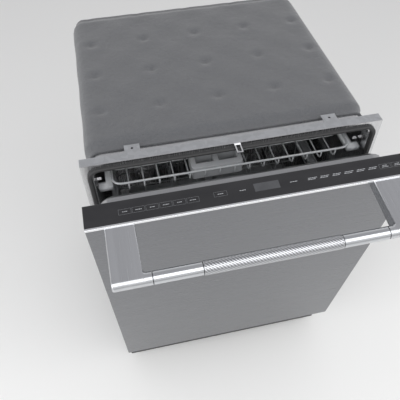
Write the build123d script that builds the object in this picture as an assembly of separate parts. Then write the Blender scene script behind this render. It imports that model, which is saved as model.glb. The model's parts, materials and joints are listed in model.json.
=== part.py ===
"""A built-in dishwasher, door ajar: brushed front, bar handle on two arms, black control strip on top.

Sizes are in millimetres. X runs right, Y runs from the closed door's face towards the wall, Z runs up.
Every piece is drawn with the door closed and the racks pushed in. The last section opens the door a little,
draws the racks out with it and moves everything over the middle of the floor area.
"""
from build123d import *
import os
from math import cos, pi, radians, sin

# The whole machine
door_width = 606.0
door_top = 865.0
door_foot = 150.0
shell_depth = 50.0
door_ajar = 7.0
rear_reach = 620.0

# Clearances used all over
running_gap = 0.06
seat_gap = 0.3
reveal = 1.5

# Hinge line, seen from the side
hinge_setback = 30.0
hinge_rise = 12.0
pivot_radius = 5.0

# Door shell
skin = 1.0
trim_depth = 4.0
trim_height = 6.0
strip_height = 26.0
strip_wall = 2.5
liner_margin = 5.0
liner_reach = 33.0
liner_rise = 24.0
liner_drop = 22.0
liner_plate = 1.0
pad_thickness = 12.0

# Handle
arm_margin = 32.0
arm_width = 52.0
bar_reach = 99.5
bar_drop = 14.0
bar_radius = 11.5
grip_radius = 12.5
grip_half = 120.5
ring_width = 1.5
stub_length = 14.0
hinge_arm_rise = 258.0
groove_depth = 1.0
arm_blend = 7.0
screw_shank = 4.0
screw_inset = 13.0
screw_reach = 24.0

# Display window in the strip
window_left = 0.0
window_width = 47.0
window_front = 20.0
window_depth = 17.0
window_thickness = 1.2

# Control board and latch
board_drop = 11.4
board_x = (-160.0, 180.0)
board_posts = (-130.0, -70.0, 90.0, 150.0)
board_thickness = 1.6
latch_half = 18.0
latch_front = 25.7
latch_drop = 2.4
latch_height = 18.3
mouth_half = 9.0
hook_half = 3.0
hook_back = 7.0
hook_drop = 15.0
hook_length = 11.0
hook_pin = 1.5

# Tub and its front
sheet = 1.2
gasket_gap = 7.0
side_space = 22.0
ceiling_drop = 17.0
floor_rise = 8.0
back_space = 18.0
flange_drop = 20.0
hinge_window = 34.0
frame_sheet = 1.5
frame_return = 20.0
frame_foot = 22.0
tab_half = 200.0
tab_width = 30.0
tab_length = 20.0
tab_hole_radius = 2.6
tab_hole_back = 10.0
blanket_thickness = 11.5
tub_corner = 20.0
tub_edge = 10.0
corner_flats = 4
tank_depth = 13.0
tank_behind = (392.0, 172.0)
tank_above = (90.0, 450.0)

# Base
base_outset = 3.0
base_setback = 5.8
base_inset = 24.0
base_floor = 18.0
base_wall = 3.5
base_drop = 20.0
foot_inset = 29.0
foot_margin = 36.0
foot_radius = 20.0
foot_height = 7.0
stem_radius = 6.0
boss_half = 15.0
boss_height = 42.0
cradle_inset = 31.0
cradle_wall = 4.0

# Sump, filter and water parts
hub_offset = 12.5
sump_offset = 42.0
cup_offset = 80.0
sump_hole = 99.5
sump_flange = 112.0
sump_lip = 2.5
sump_depth = 58.0
sump_foot_radius = 60.0
bowl_sides = 20
cup_radius = 36.0
cup_depth = 38.0
pump_rise = 54.0
pump_left = 86.0
pump_margin = 17.0
delivery_run = 62.0
drain_pump_right = -104.0
inlet_inset = 70.0
inlet_rise = 42.0
inlet_radius = 13.1
drain_inset = 134.0
drain_rise = 72.0
drain_radius = 11.0
cable_inset = 104.0
cable_rise = 37.0
cable_radius = 11.0
cable_notch = 20.0
collar_length = 4.0
dock_radius = 8.0
float_radius = 17.0
float_stem = 4.0
spring_inset = 18.0
spring_rise = 82.0
spring_front = 250.0
spring_margin = 96.0
spring_radius = 10.0

# Racks, pushed in
rack_gap = 9.0
rack_back_gap = 24.0
wire = 3.6
tine = 3.4
lower_inset = 25.0
lower_lift = 11.0
lower_height = 205.0
lower_cell_count = (5, 4)
wheel_radius = 17.0
wheel_width = 9.0
wheel_gap = 1.0
axle_radius = 3.0
axle_inset = 60.0
hanger = 2.4
fold_rod = 2.2
fold_height = 78.0
upper_inset = 31.0
upper_rise = 350.0
upper_height = 120.0
upper_cell_count = (5, 4)
tray_drop = 78.0
tray_height = 30.0
pull_left = -88.0
pull_width = 106.0
rail_channel = 11.0
rail_wall = 2.0
rail_lip = 3.0
rail_gap = 0.4
upper_rail = 30.0
upper_rail_rise = 62.0
tray_rail = 24.0
lower_travel_rate = 55.0
upper_travel_rate = 287.0
tray_travel_rate = 260.0

# Spray arms
post_radius = 12.0
shaft_radius = 6.0
lower_arm_rise = 28.0
lower_arm_thickness = 11.0
upper_arm_drop = 31.0
upper_arm_thickness = 10.0
top_arm_drop = 32.0
top_arm_thickness = 9.0

# Detergent dispenser and vent in the liner
dispenser_x = (-8.0, 148.0)
dispenser_drop = 153.0
dispenser_height = 130.0
dispenser_lip = 6.0
lid_width = 70.0
lid_height = 72.0
lid_travel = 72.0
cap_radius = 16.0
plug_radius = 8.0
vent_inset = 86.0
vent_radius = 30.0
cap_x = 30.0
lamp_x = (110.0, 190.0)

# Widths worked out from the ones above
door_half = door_width / 2
tub_half = door_half - side_space
tub_outer = tub_half + sheet
flange_half = door_half - reveal
liner_half = tub_half - liner_margin
base_half = tub_half + base_outset
foot_x = base_half - foot_inset
lower_half = tub_half - lower_inset
upper_half = tub_half - upper_inset
arm_outer = door_half - arm_margin
arm_inner = arm_outer - arm_width
vent_x = -(liner_half - vent_inset)
pump_right = tub_half - cradle_inset - cradle_wall - pump_margin
wheel_x = (lower_half + hanger + wheel_gap, lower_half + hanger + wheel_gap + wheel_width)
inlet_x = -(base_half - inlet_inset)
drain_x = -(base_half - drain_inset)
cable_x = base_half - cable_inset
spring_x = base_half - spring_inset

# Heights worked out from the ones above
hinge_height = door_foot + hinge_rise
hinge_window_top = hinge_height + hinge_window
tub_floor = hinge_height + floor_rise
tub_ceiling = door_top - ceiling_drop
flange_top = door_top - reveal
liner_foot = hinge_height + liner_rise
liner_top = door_top - liner_drop
strip_foot = door_top - strip_height
bar_height = door_top - bar_drop
board_top = door_top - board_drop
latch_top = door_top - latch_drop
hook_z = door_top - hook_drop
base_height = tub_floor - base_drop
boss_top = base_floor + boss_height
track_height = hinge_height + shell_depth + liner_reach - hinge_setback
axle_height = track_height + seat_gap + wheel_radius
lower_floor = track_height + lower_lift
upper_floor = tub_floor + upper_rise
tray_floor = tub_ceiling - tray_drop
fold_z = lower_floor + wire + 4.5
lower_arm = (tub_floor + lower_arm_rise, tub_floor + lower_arm_rise + lower_arm_thickness)
upper_arm = (upper_floor - upper_arm_drop, upper_floor - upper_arm_drop + upper_arm_thickness)
top_arm = (tub_ceiling - top_arm_drop, tub_ceiling - top_arm_drop + top_arm_thickness)
sump_bottom = tub_floor - sump_depth
pump_height = base_floor + pump_rise
drain_height = base_floor + drain_rise
inlet_height = base_floor + inlet_rise
cable_height = base_floor + cable_rise
port_height = tub_floor - 44
spring_height = base_floor + spring_rise
dock_height = upper_floor - 8.5
dispenser_z = (liner_top - dispenser_drop - dispenser_height, liner_top - dispenser_drop)
lid_z = (dispenser_z[0] + 8, dispenser_z[0] + 8 + lid_height)
cap_z = lid_z[1] + 26
vent_z = (dispenser_z[0] + dispenser_z[1]) / 2

# Depths worked out from the ones above
liner_back = shell_depth + liner_reach
dispenser_face = liner_back + 2
hook_y = shell_depth - hook_back
flange_face = shell_depth + gasket_gap
frame_face = flange_face + sheet
tab_start = frame_face + frame_return
base_front = tab_start + base_setback
base_back = rear_reach - base_inset
base_inside = base_back - base_wall
tub_back = rear_reach - back_space
foot_places = (base_front + foot_margin, base_back - foot_margin)
rack_front = liner_back + rack_gap
rack_back = tub_back - rack_back_gap
rail_back = rack_back - 13
axle_places = (rack_front + axle_inset, rack_back - axle_inset)
fold_y = (rack_front + rack_back) / 2 + 8
hub_y = (flange_face + tub_back) / 2 + hub_offset
sump_y = hub_y - sump_offset
cup_y = hub_y - cup_offset
arm_reach = min(tub_back - hub_y - 28, tub_half - 49)
delivery_start = sump_y + delivery_run
duct_front = tub_back - seat_gap - 16
dock_y = duct_front - 13.7
tank_y = tuple(tub_back - reach for reach in tank_behind)
tank_z = tuple(tub_floor + rise for rise in tank_above)
float_place = (-tub_half + 41, rack_front + 20)
spring_back = base_back - spring_margin


def block(x, y, z):
    """A box from three (low, high) pairs."""
    middle = Pos((x[0] + x[1]) / 2, (y[0] + y[1]) / 2, (z[0] + z[1]) / 2)
    return middle * Box(x[1] - x[0], y[1] - y[0], z[1] - z[0])


def rod_x(x, y, z, radius):
    """A round bar along X between the two ends in x."""
    return Pos((x[0] + x[1]) / 2, y, z) * Rot(0, 90, 0) * Cylinder(radius, x[1] - x[0])


def rod_y(x, y, z, radius):
    """A round bar along Y between the two ends in y."""
    return Pos(x, (y[0] + y[1]) / 2, z) * Rot(90, 0, 0) * Cylinder(radius, y[1] - y[0])


def rod_z(x, y, z, radius):
    """A round bar along Z between the two ends in z."""
    return Pos(x, y, (z[0] + z[1]) / 2) * Cylinder(radius, z[1] - z[0])


def prism(start, end, radius, sides):
    """A bar with flat sides between two points, its corners on a circle of that radius."""
    run = Vector(*end) - Vector(*start)
    return extrude(Plane(origin=start, z_dir=run) * RegularPolygon(radius, sides), run.length)


def prism_x(x, y, z, radius, sides):
    """A bar with flat sides along X between the two ends in x."""
    return prism((x[0], y, z), (x[1], y, z), radius, sides)


def prism_y(x, y, z, radius, sides):
    """A bar with flat sides along Y between the two ends in y."""
    return prism((x, y[0], z), (x, y[1], z), radius, sides)


def prism_z(x, y, z, radius, sides):
    """A bar with flat sides along Z between the two ends in z."""
    return prism((x, y, z[0]), (x, y, z[1]), radius, sides)


def pipe(points, radius, sides=10):
    """A pipe along straight runs with mitred bends; its section is a polygon."""
    start = Plane(origin=points[0], z_dir=Vector(*points[1]) - Vector(*points[0]))
    return sweep(start * RegularPolygon(radius, sides), path=Polyline(*points), transition=Transition.RIGHT)


def tapered(place, start, end, sides):
    """An upright piece with flat sides that tapers between two (radius, height) pairs."""
    turns = [2 * pi * i / sides for i in range(sides)]
    low, high = [[(place[0] + r * cos(t), place[1] + r * sin(t), z) for t in turns] for r, z in (start, end)]
    walls = [Face(Wire.make_polygon([low[i - 1], low[i], high[i], high[i - 1]])) for i in range(sides)]
    caps = [Face(Wire.make_polygon(ring)) for ring in (low, high)]
    return Solid(Shell(walls + caps)).fix()


def spread(half):
    """The (low, high) pair that reaches the same way to both sides of the middle."""
    return (-half, half)


def other_side(shape):
    """The same piece mirrored to the other side of the machine."""
    return mirror(shape, about=Plane.YZ)


def group(shapes):
    """Separate solids kept together as one sub-part."""
    solids = [solid for shape in shapes for solid in shape.solids()]
    return Compound(children=solids)


def pair(shape):
    """A piece and its mirror image."""
    return group([shape, other_side(shape)])


def dished(half, y, z, corner, edge):
    """A block whose long edges are rounded by a row of flats and whose rear edges have a bevel."""
    centres = [(half - corner, z[1] - corner), (corner - half, z[1] - corner),
               (corner - half, z[0] + corner), (half - corner, z[0] + corner)]
    outline = []
    for quarter, centre in enumerate(centres):
        for i in range(corner_flats + 1):
            turn = (quarter + i / corner_flats) * pi / 2
            outline.append((centre[0] + corner * cos(turn), y[0], centre[1] + corner * sin(turn)))
    body = extrude(make_face(Polyline(*outline, close=True)), y[1] - y[0], dir=(0, 1, 0))
    return chamfer(body.faces().sort_by(Axis.Y)[-1].edges(), edge)


def grid_panel(x, y, z, cells):
    """A flat wire panel: a thin block with rows of holes. cells counts them along its two long axes."""
    spans = [x, y, z]
    thin = min(range(3), key=lambda axis: spans[axis][1] - spans[axis][0])
    long_axes = [axis for axis in range(3) if axis != thin]
    ranges = {thin: [(spans[thin][0] - 1, spans[thin][1] + 1)]}
    for axis, count in zip(long_axes, cells):
        low, high = spans[axis]
        pitch = (high - low - wire) / count
        ranges[axis] = [(low + wire + i * pitch, low + (i + 1) * pitch) for i in range(count)]
    holes = [block(a, b, c) for a in ranges[0] for b in ranges[1] for c in ranges[2]]
    return block(x, y, z) - holes


def wire_places(low, high, count):
    """Centres of the bars of a wire panel that has count holes between low and high."""
    pitch = (high - low - wire) / count
    return [low + wire / 2 + i * pitch for i in range(count + 1)]


# Cabinet


def make_tub():
    """Deep-drawn stainless tub, open to the front, with a flat flange turned out around its mouth."""
    outer = dished(tub_outer, (flange_face, tub_back + sheet), (tub_floor - sheet, tub_ceiling + sheet),
                   tub_corner + sheet, tub_edge)
    inner = dished(tub_half, (flange_face - 5, tub_back), (tub_floor, tub_ceiling), tub_corner, tub_edge)
    flange = block(spread(flange_half), (flange_face, frame_face), (tub_floor - flange_drop, flange_top))
    hinge_gap = block((tub_outer, flange_half + 1), (flange_face - 1, frame_face + 1),
                      (tub_floor - flange_drop - 1, hinge_window_top))
    sump_opening = prism_z(0, sump_y, (tub_floor - 10, tub_floor + 5), sump_hole, bowl_sides)
    float_hole = prism_z(*float_place, (tub_floor - 10, tub_floor + 5), float_stem + seat_gap, 8)
    tub = outer + (flange - hinge_gap - other_side(hinge_gap))
    return tub - inner - sump_opening - float_hole


def make_front_frame():
    """Folded steel frame behind the flange: two legs to the base, a top bar and two screw tabs."""
    body = block(spread(flange_half), (frame_face, tab_start), (frame_foot, flange_top))
    body -= block(spread(flange_half - frame_sheet), (frame_face + frame_sheet, tab_start + 1),
                  (frame_foot - 1, flange_top - frame_sheet))
    opening_half = tub_outer + 2
    opening_top = tub_ceiling + sheet + 2
    body -= block(spread(opening_half), (frame_face - 1, tab_start), (frame_foot - 1, opening_top))
    body -= block(spread(opening_half + 6), (frame_face - 1, tab_start), (frame_foot - 1, hinge_window_top))
    tab = block((tab_half - tab_width / 2, tab_half + tab_width / 2), (tab_start, tab_start + tab_length),
                (flange_top - frame_sheet, flange_top))
    tab -= rod_z(tab_half, tab_start + tab_hole_back, (flange_top - 5, flange_top + 5), tab_hole_radius)
    return body + tab + other_side(tab)


def make_gasket():
    """Rubber seal around the sides and top of the mouth, bevelled towards the door."""
    inner_half = tub_half + 2
    outer_half = inner_half + 9
    inner_top = tub_ceiling + 1
    face = (shell_depth + seat_gap, flange_face)
    foot = hinge_window_top + 2
    outer = block(spread(outer_half), face, (foot, inner_top + 7))
    outer = fillet(outer.edges().filter_by(Axis.Y).group_by(Axis.Z)[-1], tub_corner + 4)
    inner = block(spread(inner_half), (face[0] - 1, face[1] + 1), (foot - 1, inner_top))
    inner = fillet(inner.edges().filter_by(Axis.Y).group_by(Axis.Z)[-1], tub_corner - 2)
    seal = outer - inner
    return chamfer(seal.faces().sort_by(Axis.Y)[0].edges(), 2)


def make_blanket():
    """Sound blanket folded over the tub's sides and top, cut out round the water chamber."""
    inner_half = tub_outer + seat_gap
    outer_half = inner_half + blanket_thickness
    top = tub_ceiling + sheet + seat_gap
    along = (tab_start + tab_length + 4, base_back)
    foot = tub_floor + 30
    outer = block(spread(outer_half), along, (foot, top + blanket_thickness))
    outer = fillet(outer.edges().filter_by(Axis.Y).group_by(Axis.Z)[-1], tub_corner + 10)
    inner = block(spread(inner_half), (along[0] - 1, along[1] + 1), (foot - 1, top))
    inner = fillet(inner.edges().filter_by(Axis.Y).group_by(Axis.Z)[-1], tub_corner + sheet)
    window = block((-outer_half - 5, -tub_half), (tank_y[0] - 3, tank_y[1] + 3), (tank_z[0] - 3, tank_z[1] + 3))
    return outer - inner - window


def make_water_chamber():
    """Flat moulded water chamber on the tub's left side, with raised channels."""
    near = -tub_outer
    far = near - tank_depth
    body = block((far, near), tank_y, tank_z)
    body = fillet(body.edges().filter_by(Axis.X), 16)
    middle = (tank_z[0] + tank_z[1]) / 2
    pitch = (tank_z[1] - tank_z[0]) / 6
    for i in range(-2, 3):
        height = middle + i * pitch
        body -= block((far - 1, far + 3), (tank_y[0] + 20, tank_y[1] - 20), (height - 3, height + 3))
    return body


def make_base():
    """Moulded base pan: outer walls with a notch for the cable, two ribs, foot bosses and spring posts."""
    floor_top = base_floor + base_wall
    pan = block(spread(base_half), (base_front, base_back), (base_floor, base_height))
    pan -= block(spread(base_half - base_wall), (base_front + base_wall, base_back - base_wall),
                 (floor_top, base_height + 1))
    pan -= block(spread(base_half - 30), (base_front - 1, base_front + base_wall + 1),
                 (boss_top, base_height + 1))
    pan -= block(spread(base_half - 30), (base_back - base_wall - 1, base_back + 1),
                 (base_height - 25, base_height + 1))
    for side in (-1, 1):
        rib = sorted((side * (tub_half - cradle_inset), side * (tub_half - cradle_inset - cradle_wall)))
        pan += block(rib, (base_front + 26, base_back - 21), (floor_top, tub_floor - sheet))
        post = sorted((side * (spring_x - 6), side * (spring_x + 6)))
        pan += block(post, (spring_front - 20, spring_front - 8), (floor_top, spring_height + 10))
    for x in (-foot_x, foot_x):
        for y in foot_places:
            pan += block((x - boss_half, x + boss_half), (y - boss_half, y + boss_half), (base_floor, boss_top))
    for x in (-foot_x, foot_x):
        for y in foot_places:
            pan -= prism_z(x, y, (base_floor - 1, boss_top + 1), stem_radius + seat_gap, 8)
    wall = (base_back - base_wall - 1, base_back + 1)
    pan -= prism_y(inlet_x, wall, inlet_height, inlet_radius + 0.5, 12)
    pan -= prism_y(drain_x, wall, drain_height, drain_radius + 0.5, 12)
    return pan - block((cable_x - cable_notch, cable_x + cable_notch), wall,
                       (cable_height - cable_radius - 3, base_height))


def make_feet():
    """Four levelling feet: a round pad, a lock nut under the base and a stem."""
    feet = []
    nut_top = base_floor - seat_gap
    for x in (-foot_x, foot_x):
        for y in foot_places:
            foot = prism_z(x, y, (0, foot_height), foot_radius, 16)
            foot += prism_z(x, y, (0, boss_top - 4), stem_radius, 8)
            feet.append(foot + prism_z(x, y, (nut_top - 7, nut_top), 10, 6))
    return group(feet)


def make_kick_plate():
    """Plain sheet closing the base below the door, folded back along its top edge."""
    low, high = 12.0, door_foot - 7
    plate = block(spread(flange_half), (frame_face - frame_sheet, frame_face), (low, high))
    hinge_notch = block((tub_half, flange_half + 1), (frame_face - frame_sheet - 1, frame_face + 1),
                        (hinge_height - 54, high + 1))
    plate = plate - hinge_notch - other_side(hinge_notch)
    fold_half = base_half - 6
    fold = block(spread(fold_half), (frame_face, base_front - 6), (high - frame_sheet, high))
    return plate + fold


def make_springs():
    """Door balance springs, one each side in the base, hooked to a post in front and the wall behind."""
    coil = prism_y(spring_x, (spring_front, spring_back), spring_height, spring_radius, 12)
    front_hook = prism_y(spring_x, (spring_front - 8, spring_front), spring_height, 2.0, 6)
    back_hook = prism_y(spring_x, (spring_back, base_inside), spring_height, 2.0, 6)
    return pair(coil + front_hook + back_hook)


def make_hinge_brackets():
    """Steel side plates that carry the door: bolted to the base and the frame's legs, with the pivot pin."""
    plate_x = (base_half, base_half + 3.5)
    pin_tip = base_half + 13
    y, z = hinge_setback, hinge_height
    foot = base_floor + 12
    outline = [(base_front + 66, foot), (base_front + 66, z - 44), (base_front + 12, z - 16), (y + 10, z + 11),
               (y - 6, z + 11), (y - 12, z), (y - 4, z - 10), (base_front - 18, z - 46), (base_front - 18, foot)]
    face = make_face(Polyline(*[(0, a, b) for a, b in outline], close=True))
    plate = Pos(plate_x[0], 0, 0) * extrude(face, plate_x[1] - plate_x[0], dir=(1, 0, 0))
    ear_z = (base_floor + 32, z - 52)
    ear = block((plate_x[1], flange_half - frame_sheet), (frame_face + frame_sheet, frame_face + 5), ear_z)
    link = block(plate_x, (frame_face + frame_sheet, base_front - 14), ear_z)
    return pair(plate + ear + link + rod_x((plate_x[0], pin_tip), y, z, pivot_radius))


def make_strike():
    """Steel loop on the frame's top bar that the latch catches."""
    z = (flange_top - 5, flange_top - 2.5)
    tip = flange_face - 23
    bar = 2.5
    outer_half = mouth_half - 2.75
    loop = block(spread(outer_half), (tip, flange_face), z)
    loop -= block(spread(outer_half - bar), (tip + bar, flange_face - bar), (z[0] - 1, z[1] + 1))
    return loop


def make_sump():
    """Moulded sump: a bowl under the tub's floor, the spray arm's post, a suction elbow and a drain port."""
    sides = bowl_sides
    wall = 3.0
    place = (0, sump_y)
    rim = tub_floor + sump_lip
    bowl_radius = sump_hole - seat_gap
    shoulder = tub_floor - 28
    bowl = tapered(place, (sump_foot_radius, sump_bottom), (bowl_radius, shoulder), sides)
    bowl += prism_z(*place, (shoulder, rim), bowl_radius, sides)
    bowl += prism_z(*place, (tub_floor, rim), sump_flange, sides)
    bowl -= tapered(place, (sump_foot_radius - 1, sump_bottom + wall), (bowl_radius - wall, shoulder + 1), sides)
    bowl -= prism_z(*place, (shoulder + 1, rim + 1), bowl_radius - wall, sides)
    post = rod_z(0, hub_y, (sump_bottom + 1, lower_arm[0] + 5), post_radius)
    elbow = pipe([(0, sump_y, sump_bottom + 1), (0, sump_y, pump_height), (pump_left, sump_y, pump_height)], 17)
    return bowl + post + elbow + prism_x((drain_pump_right, -70), sump_y, port_height, 13, 12)


def make_filter_plate():
    """Flat stainless filter plate over the sump, open at the arm's post and the filter cup."""
    z = (tub_floor + sump_lip, tub_floor + sump_lip + 1.5)
    through = (z[0] - 1, z[1] + 1)
    plate = prism_z(0, sump_y, z, sump_flange - 4, bowl_sides) - prism_z(0, hub_y, through, post_radius + 3, 16)
    return plate - prism_z(0, cup_y, through, cup_radius + 2, 16)


def make_filter_cup():
    """Fine filter cup, open inside, with two finger ears on its rim and a round boss that it turns on."""
    rim = (tub_floor + sump_lip + 1.5 + seat_gap, tub_floor + sump_lip + 4.5)
    floor = tub_floor - cup_depth
    cup = prism_z(0, cup_y, (floor, rim[1]), cup_radius, 16) + prism_z(0, cup_y, rim, cup_radius + 4, 16)
    for side in (-1, 1):
        ear = sorted((side * (cup_radius - 1), side * (cup_radius + 3)))
        cup += block(ear, (cup_y - 9, cup_y + 9), (rim[0], rim[1] + 6))
    cup -= prism_z(0, cup_y, (floor + 2, rim[1] + 7), cup_radius - 2, 16)
    return cup + rod_z(0, cup_y, (floor - 5, floor + 1), 8)


def make_float():
    """Overfill float: a bevelled dome on a stem that rides up through the tub's floor."""
    seat = tub_floor + seat_gap
    dome = prism_z(*float_place, (seat, seat + 12), float_radius, 16)
    dome += tapered(float_place, (float_radius, seat + 12), (float_radius - 6, seat + 17), 16)
    return dome + prism_z(*float_place, (tub_floor - 16, seat + 1), float_stem, 8)


def make_circulation_pump():
    """Wash pump lying on the base: volute, motor with cooling ribs, foot and delivery port."""
    x = pump_left
    motor = (x + 32, pump_right - 8)
    pump = prism_x((x, motor[0]), sump_y, pump_height, 44, 24)
    pump += prism_x(motor, sump_y, pump_height, 37, 16)
    pump += prism_x((motor[1], pump_right), sump_y, pump_height, 26, 12)
    for share in (0.22, 0.61):
        near = motor[0] + share * (motor[1] - motor[0])
        pump += prism_x((near, near + 12), sump_y, pump_height, 41, 16)
    foot_x = (motor[0] + motor[1]) / 2
    pump += block((foot_x - 13, foot_x + 9), (sump_y - 24, sump_y + 24), (base_floor + base_wall, pump_height - 20))
    return pump + prism_y(x + 16, (sump_y, delivery_start), pump_height + 28, 14, 12)


def make_drain_pump():
    """Small drain pump on the sump's side port."""
    x = drain_pump_right
    pump = prism_x((x - 24, x), sump_y, port_height, 25, 16)
    pump += prism_x((x - 78, x - 24), sump_y, port_height, 19, 16)
    return pump + prism_y(x - 12, (sump_y, sump_y + 38), port_height + 12, 8, 12)


def make_pipes():
    """Rigid pipes under the tub: pump to feed tube, and drain pump to the rear spigot."""
    height = pump_height + 28
    rise = tub_back - 26
    bend = delivery_start + 68
    delivery = pipe([(pump_left + 16, delivery_start, height), (pump_left + 16, bend, height),
                     (0, bend + 100, height), (0, rise, height), (0, rise, tub_floor - sheet)], 13)
    x = drain_pump_right - 12
    outlet = port_height + 12
    drain = pipe([(x, sump_y + 38, outlet), (x, sump_y + 120, outlet), (drain_x, sump_y + 200, drain_height),
                  (drain_x, base_back - 12, drain_height)], 8)
    collar_end = base_back + collar_length
    neck = prism_y(drain_x, (base_back - 12, base_back), drain_height, drain_radius - 0.5, 12)
    collar = prism_y(drain_x, (base_back, collar_end), drain_height, 15, 16)
    spigot = rod_y(drain_x, (collar_end, rear_reach - 2), drain_height, drain_radius)
    return group([delivery, drain + neck + collar + spigot])


def make_heater():
    """Tubular heating element round the tub's floor, standing on three clips."""
    radius = 4.0
    height = tub_floor + 12
    half = tub_half - 76
    front, back = hub_y - 202, tub_back - 57
    gap = 22.0
    loop = pipe([(gap, front, tub_floor), (gap, front, height), (half, front, height), (half, back, height),
                 (-half, back, height), (-half, front, height), (-gap, front, height),
                 (-gap, front, tub_floor)], radius)
    clips = [block((x - 4, x + 4), (y - 4, y + 4), (tub_floor, height - radius + 0.3))
             for x, y in ((half, hub_y), (-half, hub_y), (0, back))]
    return loop + clips


def make_inlet_valve():
    """Water inlet valve on the base's rear wall: a body, its coil on top and a port with a lock nut outside."""
    body = block((inlet_x - 18, inlet_x + 18), (base_inside - 34, base_inside),
                 (inlet_height - 18, inlet_height + 22))
    body += prism_z(inlet_x, base_inside - 17, (inlet_height + 22, inlet_height + 52), 15, 16)
    body += prism_y(inlet_x, (base_inside, base_back), inlet_height, inlet_radius - 0.5, 12)
    nut_end = base_back + collar_length
    body += prism_y(inlet_x, (base_back, nut_end), inlet_height, 18, 6)
    return body + rod_y(inlet_x, (nut_end, rear_reach), inlet_height, inlet_radius)


def make_junction_box():
    """Steel wiring box on the base's rear wall with one round cable entry."""
    box = block((cable_x - 32, cable_x + 32), (base_inside - 50, base_inside),
                (cable_height - 15, cable_height + 28))
    box -= block((cable_x - 30, cable_x + 30), (base_inside - 48, base_inside - 12),
                 (cable_height - 13, cable_height + 26))
    return box - rod_y(cable_x, (base_inside - 13, base_inside + 1), cable_height, cable_radius)


def make_feed_tube():
    """Flat water duct up the tub's back and along its ceiling, with a port for the upper rack."""
    half = 20.0
    back = tub_back - seat_gap
    top = tub_ceiling - seat_gap
    duct = block(spread(half), (duct_front, back), (tub_floor, top))
    duct = chamfer(duct.edges().filter_by(Axis.Z), 5)
    duct += block(spread(half + 2), (duct_front - 22, back), (tub_floor, tub_floor + 12))
    duct += block(spread(half - 4), (hub_y - 20, back), (top - 11, top))
    duct &= dished(tub_half, (hub_y - 100, back), (tub_floor, top), tub_corner, tub_edge)
    duct += block(spread(13), (hub_y - 13, hub_y + 13), (top_arm[1] + 2 + seat_gap, top - 10))
    duct += rod_z(0, hub_y, (top_arm[0] + 2 + seat_gap, top_arm[1] + 3), shaft_radius)
    return duct + prism_y(0, (dock_y, duct_front + 1), dock_height, dock_radius, 16)


def make_lamps():
    """Clear lenses of the interior lamps, let into the front of the ceiling."""
    lens = block(lamp_x, (frame_face + 22, frame_face + 42), (tub_ceiling - 5, tub_ceiling))
    return pair(chamfer(lens.faces().sort_by(Axis.Z)[0].edges(), 2))


def channel(x, y, z):
    """A rail channel on the right side, open towards the middle of the machine."""
    pocket = block((x[0] - 1, x[1] - rail_wall), (y[0] - 1, y[1] + 1), (z[0] + rail_lip, z[1] - rail_lip))
    return block(x, y, z) - pocket


def make_fixed_rails():
    """Members fixed to the tub: floor tracks for the wheels and channels for the two upper racks."""
    along = (liner_back + 5, tub_back - 15)
    track = block((lower_half + 1, tub_half), along, (track_height - 3, track_height))
    track += block((tub_half - 2, tub_half), along, (track_height - 24, track_height))
    rails = [track]
    for low, height in ((upper_floor + upper_rail_rise, upper_rail), (tray_floor, tray_rail)):
        rails.append(channel((tub_half - rail_channel, tub_half), (rack_front, rail_back), (low, low + height)))
    return group(rails + [other_side(rail) for rail in rails])


def middle_rails(low, height):
    """Travelling middle members of a pair of telescopic rails."""
    x = (tub_half - rail_channel - 8, tub_half - rail_wall - rail_gap)
    z = (low + rail_lip + rail_gap, low + height - rail_lip - rail_gap)
    return pair(channel(x, (rack_front + 4, rail_back - 5), z))


def slide_bar(low, height, half):
    """The rack's own rail member, on the right side: a channel open downwards."""
    x = (half, tub_half - 2 * (rail_wall + rail_gap))
    along = (rack_front + 8, rail_back - 10)
    z = (low + 2 * (rail_lip + rail_gap), low + height - 2 * (rail_lip + rail_gap))
    pocket = block((x[0] + rail_wall, x[1] - rail_wall), (along[0] - 1, along[1] + 1),
                   (z[0] - 1, z[1] - rail_wall))
    return block(x, along, z) - pocket


# Spray arms


def spray_arm(z, reach, hub_radius):
    """A two-bladed spray arm: curved tapering blades, swept the same way round, with slots for the jets."""
    thickness = z[1] - z[0]
    root, tip = 16.0, 11.0
    edge_out = ThreePointArc((0, root), (reach / 2, root + 5), (reach - tip, tip))
    end = Polyline((reach - tip, tip), (reach - 4, tip - 4), (reach, 0), (reach - 4, 4 - tip), (reach - tip, -tip))
    edge_in = ThreePointArc((reach - tip, -tip), (reach / 2, -tip + 4), (0, -root))
    blade = extrude(make_face([edge_out, end, edge_in, Line((0, -root), (0, root))]), thickness)
    blade -= [Pos(reach * share, 3, thickness) * Box(9, 2.6, 5) for share in (0.38, 0.62, 0.86)]
    hub = prism_z(0, 0, (-2, thickness + 2), hub_radius, 16)
    arm = blade + Rot(0, 0, 180) * blade + hub
    return Pos(0, hub_y, z[0]) * arm


def make_lower_arm():
    """Lower spray arm, turning on the sump's post."""
    arm = spray_arm(lower_arm, arm_reach, 24)
    return arm - rod_z(0, hub_y, (lower_arm[0] - 5, lower_arm[0] + 5 + seat_gap), post_radius + running_gap)


def make_upper_arm():
    """Spray arm hung from the upper rack's pipe."""
    arm = spray_arm(upper_arm, arm_reach - 10, 20)
    return arm - rod_z(0, hub_y, (upper_arm[0] + 2, upper_arm[1] + 5), shaft_radius + running_gap)


def make_top_arm():
    """Spray arm hung from the duct under the ceiling."""
    arm = spray_arm(top_arm, arm_reach - 52, 18)
    return arm - rod_z(0, hub_y, (top_arm[0] + 2, top_arm[1] + 5), shaft_radius + running_gap)


# Door


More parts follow.
